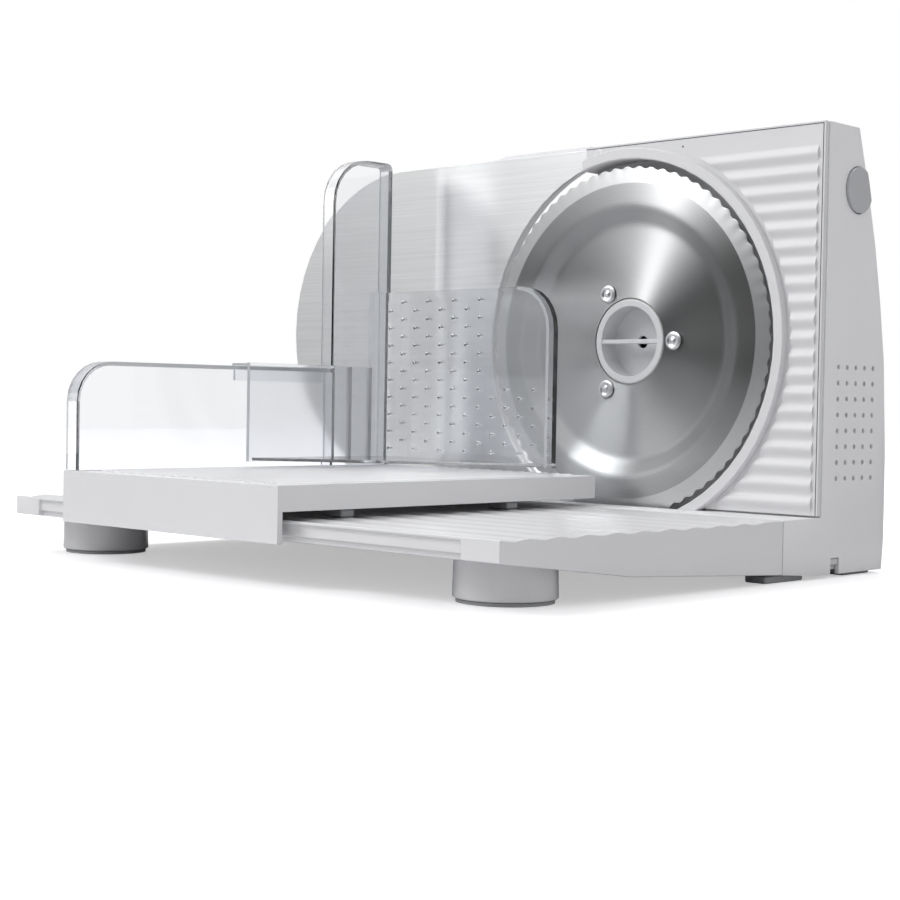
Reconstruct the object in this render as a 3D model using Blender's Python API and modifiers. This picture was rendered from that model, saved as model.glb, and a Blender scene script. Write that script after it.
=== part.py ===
"""Electric food slicer: housing, drive, table, carriage, guard, holder and stop.

Metres, +Z up. X runs right along the housing, Y runs from the user to the back.
The pieces are drawn about the blade's axis (X = 0, blade edge at Y = 0, table
top at Z = 0). One empty then carries them all, so that the origin lies under the
middle of the whole object.
"""

import math

import bmesh
import bpy
from mathutils import Vector

MM = 0.001

# Clearances, walls and steps shared by all pieces
SEAT_GAP = 0.3 * MM
RUNNING_GAP = 0.4 * MM
WALL = 2.5 * MM
OVERRUN = 5 * MM
MERGE = 0.01 * MM
EDGE = 0.6 * MM
CORNER_STEPS = 6
RIDGE_STEPS = 6
RIB_STEPS = 10
ROUND_STEPS = 32
WIDE_STEPS = 60

# Blade: its diameter is the driving size of the whole machine
BLADE_DIAMETER = 190 * MM
BLADE_DIP = 5.5 * MM
BLADE_THICKNESS = 1.2 * MM
BLADE_SCALLOPS = 72
SCALLOP_DEPTH = 1.3 * MM
BLADE_BEVEL_WIDTH = 9 * MM
BLADE_CROWN_WIDTH = 12.1 * MM
BLADE_STEP_WIDTH = 9.4 * MM
BLADE_DISH = 4.5 * MM
BLADE_EDGE_THICKNESS = 0.3 * MM
RIVET_CIRCLE_MARGIN = 5.3 * MM
RIVET_COUNT = 3
RIVET_HEAD_RADIUS = 5 * MM
RIVET_SHANK_RADIUS = 2.4 * MM
RIVET_HEAD_HEIGHT = 1.2 * MM

# Lock knob: a cup through the middle of the blade
CUP_RIM_WIDTH = 1.8 * MM
CUP_RIM_THICKNESS = 1.5 * MM
CUP_OUTER_RADIUS = 21.5 * MM
CUP_WALL = 2.2 * MM
CUP_DEPTH = 12.5 * MM
CUP_FLOOR = 2 * MM
CUP_HOLE_RADIUS = 3.4 * MM
CUP_BAR_WIDTH = 2.3 * MM
CUP_BAR_DEPTH = 7 * MM
BUSH_WALL = 3.2 * MM
BUSH_FLANGE_WIDTH = 4 * MM
BUSH_FLANGE = 1.2 * MM

# Drive: ring gear on the blade, pinion, worm wheel and worm
GEAR_MODULE = 1.6 * MM
GEAR_TEETH = 48
PINION_TEETH = 12
GEAR_FACE = 7.4 * MM
GEAR_LIP = 1 * MM
WHEEL_MODULE = 1 * MM
WHEEL_TEETH = 30
WHEEL_FACE = 8 * MM
WORM_PITCH_RADIUS = 5 * MM
WORM_TURNS = 5
WORM_SIDES = 12
WORM_STATIONS = 6
WORM_SIDE_ANGLE = -90
MESH_GAP = 0.4 * MM
ADDENDUM_SHARE = 0.75
DEDENDUM_SHARE = 1.2
TOOTH_ROOT_SHARE = 0.5
TOOTH_TIP_SHARE = 0.2
PINION_SHAFT_RADIUS = 4 * MM
WHEEL_BACK = 42 * MM
ROTOR_SHAFT_RADIUS = 2.5 * MM
MOTOR_RADIUS = 18 * MM
MOTOR_END_CLEARANCE = 5.5 * MM
MOTOR_SOCKET_DEPTH = 14 * MM
BRACKET_THICKNESS = 3 * MM
BRACKET_REACH = 54 * MM
BEARING_LENGTH = 6 * MM
BEARING_HALF_HEIGHT = 7 * MM
WORM_END_CLEARANCE = 7 * MM

# Housing
HOUSING_RIGHT_MARGIN = 20.1 * MM
HOUSING_LEFT = -60 * MM
HOUSING_TOP_MARGIN = 3 * MM
HOUSING_BACK = 63.6 * MM
HOUSING_BOTTOM = 1.7 * MM
HOUSING_LEFT_MARGIN = 2 * MM
SIDE_PROFILE_SHARES = (
    (0.484, 1.000), (0.629, 0.879), (0.763, 0.747), (0.865, 0.615),
    (0.943, 0.484), (0.998, 0.264), (1.000, 0.075), (0.975, 0.012),
)
FRAME_FRONT = 16 * MM
FRAME_THICKNESS = 2.5 * MM
POST_RADIUS = 4.6 * MM
SCREW_RADIUS = 1.8 * MM
SCREW_LENGTH = 18 * MM
SCREW_HEAD_RADIUS = 3.6 * MM
SCREW_HEAD_HEIGHT = 2.2 * MM
SCREW_RIGHT_MARGIN = 16.6 * MM
SCREW_LEFT_X = -44 * MM
SCREW_LOW_Z = 48 * MM
SCREW_TOP_MARGIN = 49.5 * MM
FLOOR_THICKNESS = 2 * MM
VENT_COLUMNS = 5
VENT_ROWS = 8
VENT_PITCH_Y = 8.3 * MM
VENT_PITCH_Z = 8.03 * MM
VENT_FIRST_Y = 16.1 * MM
VENT_FIRST_Z = 49.9 * MM
VENT_RADIUS = 1.4 * MM
VENT_SIDES = 8
NOTCH_FRONT = 12.6 * MM
NOTCH_BACK = 20.7 * MM
NOTCH_TOP = 10 * MM

# Power button and switch
BUTTON_RADIUS = 11.7 * MM
BUTTON_Y = 31 * MM
BUTTON_DROP = 31.5 * MM
BUTTON_PROUD = 1.4 * MM
BUTTON_THICKNESS = 5 * MM
BUTTON_TRAVEL = 3 * MM
STEM_RADIUS = 3 * MM
STEM_LENGTH = 14 * MM
SWITCH_LENGTH = 17 * MM
SWITCH_HALF_HEIGHT = 8 * MM
SWITCH_BACK = 35 * MM

# Ribbed cover with the ring round the blade
PANEL_LEFT = -29 * MM
PANEL_LIFT = 1 * MM
PANEL_THICKNESS = 3 * MM
RIB_COUNT = 20
RIB_TOP_MARGIN = 15.8 * MM
RIB_BOTTOM_MARGIN = 5.7 * MM
RIB_HEIGHT = 1.5 * MM
RIB_SPACE = 0.3 * MM
RIB_END_MARGIN = 3.5 * MM
RIB_RING_GAP = 2.5 * MM
RING_GAP = 3.5 * MM
RING_WIDTH = 6 * MM
RING_PROUD = 4 * MM
DISH_WALL = 2 * MM
DISH_BACK = 12 * MM
DISH_HOLE_RADIUS = 46 * MM

# Base table, housing foot and feet
TABLE_LEFT = -232 * MM
TABLE_FRONT = -233.7 * MM
TABLE_BACK = -30.5 * MM
TABLE_TOP = 30.5 * MM
TABLE_TOP_WALL = 3 * MM
TABLE_FRONT_BOTTOM = 20.8 * MM
TABLE_BACK_BOTTOM = 3.9 * MM
TABLE_BEND_Y = -148 * MM
TABLE_BEND_BOTTOM = 10.3 * MM
TABLE_RIDGE_FIRST_Y = -216.6 * MM
TABLE_RIDGE_PITCH = 19.1 * MM
TABLE_RIDGE_COUNT = 9
TABLE_TREAD_BACK = -45 * MM
TABLE_RIDGE_HEIGHT = 1 * MM
BEAM_BLOCK_WIDTH = 22 * MM
BEAM_RAIL_BOTTOM = 23.2 * MM
BEAM_RECESS = 3.2 * MM
RAIL_SETBACK = 1.5 * MM
TABLE_LIP = 1.6 * MM
LEG_RADIUS = 23 * MM
LEG_Y = -194 * MM
LEG_RIGHT_MARGIN = 32.6 * MM
LEG_LEFT_MARGIN = 27 * MM
LEG_PAD = 1.5 * MM
LEG_PAD_INSET = 1.5 * MM
FOOT_WIDTH = 12 * MM
FRONT_FOOT_SPAN = (-40.6 * MM, -7.7 * MM)
BACK_FOOT_SPAN = (29.4 * MM, 55 * MM)
FOOT_INSET = 3 * MM

# Carriage
CARRIAGE_LEFT = -175 * MM
CARRIAGE_RIGHT = -3.5 * MM
CARRIAGE_FRONT = -241.5 * MM
CARRIAGE_BACK = -18 * MM
CARRIAGE_LIFT = 4 * MM
CARRIAGE_DEPTH = 12 * MM
CARRIAGE_RIDGE_FIRST_X = -153 * MM
CARRIAGE_RIDGE_PITCH = 8.5 * MM
CARRIAGE_RIDGE_COUNT = 17
CARRIAGE_RIDGE_HEIGHT = 0.8 * MM
CARRIAGE_RIDGE_WIDTH = 7.2 * MM
CARRIAGE_RIDGE_FRONT = -232 * MM
CARRIAGE_RIDGE_BACK = -24 * MM
SKIRT_BOTTOM = 20 * MM
SKIRT_THICKNESS = 3 * MM
HOOK_THICKNESS = 1.6 * MM
HOOK_REACH = 7.2 * MM
HOOK_LEFT = -157 * MM
HOOK_RIGHT = -20 * MM
GLIDE_LENGTH = 14 * MM
GLIDE_WIDTH = 8 * MM
GLIDE_FRONT_Y = -197.5 * MM
GLIDE_BACK_Y = -82.9 * MM
GLIDE_INSET = 1.2 * MM

# Clear thumb guard
GUARD_X = -165 * MM
GUARD_THICKNESS = 2.5 * MM
GUARD_FLANGE_LEFT = -174 * MM
GUARD_FLANGE = 2 * MM
GUARD_FRONT = -240.5 * MM
GUARD_LOW_TOP = 103.2 * MM
GUARD_FRONT_RADIUS = 21 * MM
GUARD_STEP_Y = -66 * MM
GUARD_SHOULDER_RADIUS = 26.5 * MM
GUARD_BACK = -20 * MM

# Clear remnant holder
HOLDER_THICKNESS = 2.5 * MM
HOLDER_LEG_X = -161 * MM
HOLDER_LEG_FRONT = -131 * MM
HOLDER_FACE_Y = -28.5 * MM
HOLDER_LOW_TOP = 105.2 * MM
HOLDER_HIGH_TOP = 149.5 * MM
HOLDER_STEP_Y = -38.7 * MM
HOLDER_BOTTOM = 50 * MM
HOLDER_RIGHT = -24 * MM
HOLDER_CORNER_RADIUS = 24 * MM
HOLDER_FLANGE_DEPTH = 7.5 * MM
HOLDER_FLANGE = 2 * MM
HOLDER_HOOK_DROP = 10 * MM
HOLDER_LIP = 1.6 * MM
HOLDER_PLAN_RADIUS = 10 * MM
HOLDER_HOOK_BACK = -67 * MM
HOLDER_GRIP_FRONT_Y = -57 * MM
HOLDER_GRIP_BACK_Y = -41 * MM
HOLDER_GRIP_WIDTH = 2.4 * MM
HOLDER_GRIP_PROUD = 1.8 * MM
HOLDER_FLOOR = 2.2 * MM
SPIKE_LENGTH = 5 * MM
SPIKE_RADIUS = 1.4 * MM
SPIKE_SIDES = 4
SPIKE_COLUMNS = 13
SPIKE_FULL_COLUMNS = 8
SPIKE_FULL_ROWS = 9
SPIKE_SHORT_ROWS = 4
SPIKE_FIRST_X = -155 * MM
SPIKE_FIRST_Z = 57 * MM
SPIKE_PITCH_X = 10.4 * MM
SPIKE_PITCH_Z = 10.2 * MM

# Stop plate, its carrier and guides
STOP_FRONT = 4 * MM
STOP_THICKNESS = 2 * MM
STOP_MARGIN = 0.5 * MM
STOP_RIGHT = -30 * MM
STOP_END_X = -180.5 * MM
STOP_BLADE_GAP = 7 * MM
CARRIER_THICKNESS = 5.5 * MM
CARRIER_WALL = 1.8 * MM
CARRIER_INSET = 1.5 * MM
CARRIER_RISE = 2.5 * MM
CARRIER_CREST_X = -95 * MM
CARRIER_SLOPE_X = -119 * MM
GUIDE_LEFT_X = -206 * MM
GUIDE_RIGHT_X = -166 * MM
GUIDE_Z = 84 * MM
GUIDE_ROD_RADIUS = 3 * MM
GUIDE_ROD_LENGTH = 24 * MM
GUIDE_BUSH_WALL = 1.6 * MM
GUIDE_BUSH_LENGTH = 8 * MM
BLOCK_LEFT = -224 * MM
BLOCK_RIGHT = -148 * MM
BLOCK_FRONT = 25.5 * MM
BLOCK_BACK = 52 * MM
BLOCK_TOP = 100 * MM
BLOCK_CORNER_RADIUS = 14 * MM
DIAL_X = -186 * MM
DIAL_Z = 56 * MM
DIAL_RADIUS = 22 * MM
DIAL_DEPTH = 12 * MM
DIAL_GRIP_WIDTH = 7 * MM
DIAL_GRIP_DEPTH = 4 * MM
DIAL_SHAFT_RADIUS = 4 * MM
DIAL_SHAFT_LENGTH = 26 * MM
BOSS_RADIUS = 8 * MM
BOSS_LENGTH = 18 * MM

# Sizes that follow from the ones above
BLADE_RADIUS = BLADE_DIAMETER / 2
BLADE_BEVEL_RADIUS = BLADE_RADIUS - BLADE_BEVEL_WIDTH
BLADE_STEP_OUTER_RADIUS = BLADE_BEVEL_RADIUS - BLADE_CROWN_WIDTH
BLADE_STEP_INNER_RADIUS = BLADE_STEP_OUTER_RADIUS - BLADE_STEP_WIDTH
HUB_HEIGHT = TABLE_TOP + BLADE_RADIUS - BLADE_DIP
HUB = (0, HUB_HEIGHT)
RING_INNER_RADIUS = BLADE_RADIUS + RING_GAP
RING_OUTER_RADIUS = RING_INNER_RADIUS + RING_WIDTH
HOUSING_RIGHT = RING_OUTER_RADIUS + HOUSING_RIGHT_MARGIN
HOUSING_HEIGHT = HUB_HEIGHT + RING_OUTER_RADIUS + HOUSING_TOP_MARGIN
HOUSING_LEFT_RADIUS = BLADE_RADIUS + HOUSING_LEFT_MARGIN
SCREW_RIGHT_X = HOUSING_RIGHT - SCREW_RIGHT_MARGIN
SCREW_HIGH_Z = HOUSING_HEIGHT - SCREW_TOP_MARGIN
BUTTON_Z = HOUSING_HEIGHT - BUTTON_DROP
PANEL_BOTTOM = TABLE_TOP + PANEL_LIFT
RIB_LOWEST_Z = PANEL_BOTTOM + RIB_BOTTOM_MARGIN
RIB_TOP_Z = HOUSING_HEIGHT - RIB_TOP_MARGIN
RIB_PITCH = (RIB_TOP_Z - RIB_LOWEST_Z) / (RIB_COUNT - 1)
RIB_WIDTH = RIB_PITCH - RIB_SPACE
FRAME_BACK = FRAME_FRONT + FRAME_THICKNESS
GEAR_PITCH_RADIUS = GEAR_MODULE * GEAR_TEETH / 2
PINION_PITCH_RADIUS = GEAR_MODULE * PINION_TEETH / 2
WHEEL_PITCH_RADIUS = WHEEL_MODULE * WHEEL_TEETH / 2
PINION_X = GEAR_PITCH_RADIUS + PINION_PITCH_RADIUS + MESH_GAP
WHEEL_FRONT = WHEEL_BACK - WHEEL_FACE
ROTOR_Y = (WHEEL_FRONT + WHEEL_BACK) / 2
ROTOR_Z = HUB_HEIGHT - WHEEL_PITCH_RADIUS - WORM_PITCH_RADIUS - MESH_GAP
WORM_PITCH = math.pi * WHEEL_MODULE
WORM_HALF_LENGTH = WORM_PITCH * WORM_TURNS / 2
BLADE_DISC_FRONT = BLADE_DISH
BLADE_DISC_BACK = BLADE_DISH + BLADE_THICKNESS
CUP_RIM_RADIUS = CUP_OUTER_RADIUS + CUP_RIM_WIDTH
CUP_INNER_RADIUS = CUP_OUTER_RADIUS - CUP_WALL
BLADE_HOLE_RADIUS = CUP_RIM_RADIUS + RUNNING_GAP
GEAR_FRONT = BLADE_DISC_BACK + SEAT_GAP
GEAR_BACK = GEAR_FRONT + GEAR_FACE
BUSH_INNER_RADIUS = CUP_OUTER_RADIUS + SEAT_GAP
BUSH_OUTER_RADIUS = BUSH_INNER_RADIUS + BUSH_WALL
BUSH_FLANGE_RADIUS = BUSH_OUTER_RADIUS + BUSH_FLANGE_WIDTH
RIVET_CIRCLE_RADIUS = BUSH_OUTER_RADIUS + RIVET_CIRCLE_MARGIN
FRONT_OPEN = PANEL_THICKNESS + SEAT_GAP
STOP_BACK = STOP_FRONT + STOP_THICKNESS
CARRIER_FRONT = STOP_BACK + SEAT_GAP
CARRIER_BACK = CARRIER_FRONT + CARRIER_THICKNESS
STOP_TOP = HOUSING_HEIGHT - STOP_MARGIN
STOP_BOTTOM = TABLE_TOP + STOP_MARGIN
STOP_GAP_RADIUS = BLADE_RADIUS + STOP_BLADE_GAP
CARRIER_CREST_Z = STOP_TOP + CARRIER_RISE
BUTTON_BACK_X = HOUSING_RIGHT + BUTTON_PROUD - BUTTON_THICKNESS
LEG_RIGHT_X = HOUSING_RIGHT - LEG_RIGHT_MARGIN
LEG_LEFT_X = TABLE_LEFT + LEG_LEFT_MARGIN
CARRIAGE_BOTTOM = TABLE_TOP + CARRIAGE_LIFT
CARRIAGE_TOP = CARRIAGE_BOTTOM + CARRIAGE_DEPTH
LEG_TOP = TABLE_TOP - TABLE_TOP_WALL - SEAT_GAP
GUARD_RIGHT = GUARD_X + GUARD_THICKNESS / 2
GUARD_LEFT = GUARD_X - GUARD_THICKNESS / 2

WHITE = (0.86, 0.87, 0.88, 1)
PALE_GREY = (0.62, 0.64, 0.66, 1)
DARK_RUBBER = (0.05, 0.05, 0.055, 1)
CLEAR = (0.86, 0.88, 0.9, 1)
STEEL = (0.62, 0.63, 0.65, 1)
BRASS = (0.72, 0.55, 0.25, 1)

for old in list(bpy.data.objects):
    bpy.data.objects.remove(old, do_unlink=True)

parts = bpy.data.collections.new("food_slicer")
cutters = bpy.data.collections.new("cutters")
bpy.context.scene.collection.children.link(parts)
bpy.context.scene.collection.children.link(cutters)
empties = {}


def take(obj, name, collection=parts):
    """Names an object and moves it to its collection."""
    obj.name = name
    for home in list(obj.users_collection):
        home.objects.unlink(obj)
    collection.objects.link(obj)
    return obj


def box(name, x_span, y_span, z_span):
    """A block between two places along each axis."""
    spans = (x_span, y_span, z_span)
    centre = [(low + high) / 2 for low, high in spans]
    bpy.ops.mesh.primitive_cube_add(size=1, location=centre)
    obj = take(bpy.context.object, name)
    obj.scale = [high - low for low, high in spans]
    bpy.ops.object.transform_apply(location=False, rotation=False, scale=True)
    return obj


AXIS_TURNS = {
    "x": (0, math.pi / 2, 0),
    "y": (-math.pi / 2, 0, 0),
    "z": (0, 0, 0),
}


def place_on_axis(axis, centre, along):
    """The 3-D point `along` an axis whose other two coordinates are `centre`."""
    first, second = centre
    if axis == "x":
        return (along, first, second)
    if axis == "y":
        return (first, along, second)
    return (first, second, along)


def rod(name, axis, centre, span, radius, end_radius=None, sides=ROUND_STEPS):
    """A cylinder, or a cone where end_radius differs, along one axis."""
    low, high = span
    bpy.ops.mesh.primitive_cone_add(
        vertices=sides, radius1=radius,
        radius2=radius if end_radius is None else end_radius, depth=high - low,
        location=place_on_axis(axis, centre, (low + high) / 2),
        rotation=AXIS_TURNS[axis])
    return take(bpy.context.object, name)


def turned(name, axis, centre, profile, steps=ROUND_STEPS, closed=False):
    """A profile of (radius, place along the axis), outer side listed high to low."""
    mesh = bpy.data.meshes.new(name)
    vertices = [(radius, 0, along) for radius, along in profile]
    edges = [(index, index + 1) for index in range(len(profile) - 1)]
    if closed:
        edges.append((len(profile) - 1, 0))
    mesh.from_pydata(vertices, edges, [])
    obj = bpy.data.objects.new(name, mesh)
    parts.objects.link(obj)
    obj.location = place_on_axis(axis, centre, 0)
    obj.rotation_euler = AXIS_TURNS[axis]
    screw = obj.modifiers.new("turn", "SCREW")
    screw.steps = steps
    screw.render_steps = steps
    screw.use_merge_vertices = True
    screw.merge_threshold = MERGE
    return obj


def baked(obj):
    """The object's evaluated form as a plain welded mesh."""
    bpy.context.view_layer.update()
    graph = bpy.context.evaluated_depsgraph_get()
    mesh = bpy.data.meshes.new_from_object(obj.evaluated_get(graph))
    loose = bmesh.new()
    loose.from_mesh(mesh)
    bmesh.ops.remove_doubles(loose, verts=loose.verts, dist=MERGE)
    loose.to_mesh(mesh)
    loose.free()
    solid = bpy.data.objects.new(obj.name, mesh)
    solid.matrix_world = obj.matrix_world.copy()
    name = obj.name
    bpy.data.objects.remove(obj, do_unlink=True)
    parts.objects.link(solid)
    solid.name = name
    return solid


PLANE_TURNS = {
    "xz": (math.pi / 2, 0, 0),
    "yz": (math.pi / 2, 0, math.pi / 2),
    "xy": (0, 0, 0),
}


def plate(name, plane, outlines, span):
    """Flat outlines (the first one outside, then holes) made a solid across span."""
    low, high = span
    curve = bpy.data.curves.new(name, "CURVE")
    curve.dimensions = "2D"
    curve.fill_mode = "BOTH"
    curve.extrude = (high - low) / 2
    for outline in outlines:
        spline = curve.splines.new("POLY")
        spline.points.add(len(outline) - 1)
        for point, (first, second) in zip(spline.points, outline):
            point.co = (first, second, 0, 1)
        spline.use_cyclic_u = True
    obj = bpy.data.objects.new(name, curve)
    parts.objects.link(obj)
    middle = (low + high) / 2
    obj.location = {"xz": (0, middle, 0), "yz": (middle, 0, 0), "xy": (0, 0, middle)}[plane]
    obj.rotation_euler = PLANE_TURNS[plane]
    return baked(obj)


def arc(centre, radius, start, end, steps=ROUND_STEPS):
    """Points on a circle from one angle to another, in degrees."""
    points = []
    for step in range(steps + 1):
        angle = math.radians(start + (end - start) * step / steps)
        points.append((centre[0] + radius * math.cos(angle),
                       centre[1] + radius * math.sin(angle)))
    return points


def circle(centre, radius, steps=ROUND_STEPS):
    return arc(centre, radius, 0, 360, steps)[:-1]


def rounded(corners, steps=CORNER_STEPS):
    """An outline from corners (first, second, radius), its corners made round."""
    outline = []
    for index, (first, second, radius) in enumerate(corners):
        if radius == 0:
            outline.append((first, second))
            continue
        corner = Vector((first, second))
        before = (Vector(corners[index - 1][:2]) - corner).normalized()
        after = (Vector(corners[(index + 1) % len(corners)][:2]) - corner).normalized()
        half = before.angle(after) / 2
        centre = corner + (before + after).normalized() * radius / math.sin(half)
        start = corner + before * radius / math.tan(half) - centre
        end = corner + after * radius / math.tan(half) - centre
        start_angle = math.degrees(math.atan2(start.y, start.x))
        sweep = math.degrees(math.atan2(end.y, end.x)) - start_angle
        sweep = (sweep + 180) % 360 - 180
        outline += arc(centre, radius, start_angle, start_angle + sweep, steps)
    return outline


def stow(tool):
    """Puts a cutter or a joined piece in the cutters' collection, out of sight."""
    take(tool, "tool_" + tool.name, cutters)
    tool.hide_render = True
    tool.display_type = "WIRE"


def combine(target, tools, operation, solver="EXACT"):
    for tool in tools:
        modifier = target.modifiers.new(operation.lower(), "BOOLEAN")
        modifier.operation = operation
        modifier.object = tool
        modifier.solver = solver
        stow(tool)
    return target


def cut(target, *tools):
    return combine(target, tools, "DIFFERENCE")


def join(target, *tools):
    return combine(target, tools, "UNION")


def keep(target, *tools):
    return combine(target, tools, "INTERSECT")


def gathered(name, pieces):
    """Several loose solids as one mesh, for one cut or one union."""
    bpy.context.view_layer.update()
    mesh = bmesh.new()
    for piece in pieces:
        start = len(mesh.verts)
        mesh.from_mesh(piece.data)
        mesh.verts.ensure_lookup_table()
        fresh = mesh.verts[start:]
        bmesh.ops.transform(mesh, matrix=piece.matrix_world, verts=fresh)
        bpy.data.objects.remove(piece, do_unlink=True)
    data = bpy.data.meshes.new(name)
    mesh.to_mesh(data)
    mesh.free()
    obj = bpy.data.objects.new(name, data)
    parts.objects.link(obj)
    return obj


def soften(obj, width=EDGE, segments=1):
    """A small bevel along the sharp edges."""
    bevel = obj.modifiers.new("soften", "BEVEL")
    bevel.width = width
    bevel.segments = segments
    bevel.limit_method = "ANGLE"
    return obj


def material(name, colour, roughness, metallic=0):
    surface = bpy.data.materials.new(name)
    surface.use_nodes = True
    shader = surface.node_tree.nodes["Principled BSDF"]
    shader.inputs["Base Color"].default_value = colour
    shader.inputs["Roughness"].default_value = roughness
    shader.inputs["Metallic"].default_value = metallic
    surface.diffuse_color = colour
    return surface


def empty_at(name, place):
    """An empty on a joint's axis, which carries the pieces that move on it."""
    obj = bpy.data.objects.new(name, None)
    obj.empty_display_size = CUP_INNER_RADIUS
    parts.objects.link(obj)
    obj.location = place
    empties[name] = obj
    return obj


def finish(obj, group, colour, roughness, metallic=0):
    """Gives a sub-part its material and hangs it on its group's empty."""
    if obj.type == "MESH":
        obj.data.materials.clear()
        obj.data.materials.append(material(obj.name, colour, roughness, metallic))
        obj.data.shade_smooth()
        obj.data.set_sharp_from_angle(angle=math.radians(35))
    carrier = empties[group]
    obj.parent = carrier
    obj.location = obj.location - carrier.location
    return obj


def ridged_outline(start, pitch, count, base, height, width, steps=RIDGE_STEPS):
    """Points of a row of rounded ridges, each at start + pitch * n, on a level base."""
    points = []
    for index in range(count):
        middle = start + pitch * index
        for step in range(steps + 1):
            share = 2 * step / steps - 1
            place = middle + share * width / 2
            if points and place - points[-1][0] < MERGE:
                continue
            points.append((place, base + height * (1 + math.cos(share * math.pi)) / 2))
    return points


def gear_outline(centre, teeth, module, turn):
    """A spur gear's outline, one tooth centred `turn` degrees from the first axis."""
    pitch_radius = module * teeth / 2
    tip = pitch_radius + module * ADDENDUM_SHARE
    root = pitch_radius - module * DEDENDUM_SHARE
    step = 360 / teeth
    points = []
    for index in range(teeth):
        middle = turn + step * index
        for radius, offset in ((root, -TOOTH_ROOT_SHARE), (tip, -TOOTH_TIP_SHARE),
                               (tip, TOOTH_TIP_SHARE), (root, TOOTH_ROOT_SHARE)):
            angle = math.radians(middle + offset * step / 2)
            points.append((centre[0] + radius * math.cos(angle),
                           centre[1] + radius * math.sin(angle)))
    return points


# Housing: one shell for the tower and the long base, its frame and its floor

def back_place(height):
    """Depth of the housing's back at a height, read from the side profile."""
    places = [(depth * HOUSING_BACK, share * HOUSING_HEIGHT)
              for depth, share in SIDE_PROFILE_SHARES]
    for (depth, high), (next_depth, low) in zip(places, places[1:]):
        if high >= height >= low:
            return depth + (next_depth - depth) * (high - height) / (high - low)
    return places[-1][0]


def tower_edge(inset):
    """The tower's left edge from the panel's edge down to the base, seen from the front."""
    radius = HOUSING_LEFT_RADIUS - inset
    start = math.degrees(math.acos((PANEL_LEFT + inset) / radius))
    corner = math.degrees(math.acos((HOUSING_LEFT + inset) / radius))
    drop = (HUB_HEIGHT - TABLE_TOP + inset) / radius
    end = 180 + math.degrees(math.asin(drop))
    return (arc(HUB, radius, start, corner, CORNER_STEPS)
            + arc(HUB, radius, 360 - corner, end, CORNER_STEPS))


def housing_solid(name, inset, bottom):
    """The housing's outer form, or with an inset the hollow inside it."""
    right = HOUSING_RIGHT - inset
    left = TABLE_LEFT + inset
    low_top = TABLE_TOP - inset
    over = HOUSING_HEIGHT + OVERRUN
    front_view = ([(right, bottom - OVERRUN), (right, over), (PANEL_LEFT + inset, over)]
                  + tower_edge(inset) + [(left, low_top), (left, bottom - OVERRUN)])
    foot_front = TABLE_BACK + SEAT_GAP + inset
    back = [(depth * HOUSING_BACK - inset, share * HOUSING_HEIGHT)
            for depth, share in SIDE_PROFILE_SHARES]
    back[0] = (back[0][0], HOUSING_HEIGHT - inset)
    if inset:
        front = [(foot_front, bottom), (foot_front, low_top), (FRONT_OPEN + inset, low_top),
                 (FRONT_OPEN + inset, PANEL_BOTTOM + inset),
                 (FRONT_OPEN - OVERRUN, PANEL_BOTTOM + inset),
                 (FRONT_OPEN - OVERRUN, HOUSING_HEIGHT - inset)]
        back[-1] = (back[-1][0], bottom)
    else:
        front = [(foot_front, TABLE_BACK_BOTTOM), (foot_front, low_top),
                 (FRONT_OPEN, low_top), (FRONT_OPEN, HOUSING_HEIGHT)]
        back[-1] = (back[-1][0], HOUSING_BOTTOM)
        back.append((0, HOUSING_BOTTOM))
    solid = plate(name, "yz", [front + back],
                  (TABLE_LEFT - OVERRUN, HOUSING_RIGHT + OVERRUN))
    outline = plate(name + "_front_view", "xz", [front_view],
                    (TABLE_BACK - OVERRUN, HOUSING_BACK + OVERRUN))
    return keep(solid, outline)


def screw_places():
    return [(x, z) for x in (SCREW_LEFT_X, SCREW_RIGHT_X)
            for z in (SCREW_LOW_Z, SCREW_HIGH_Z)]


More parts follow.
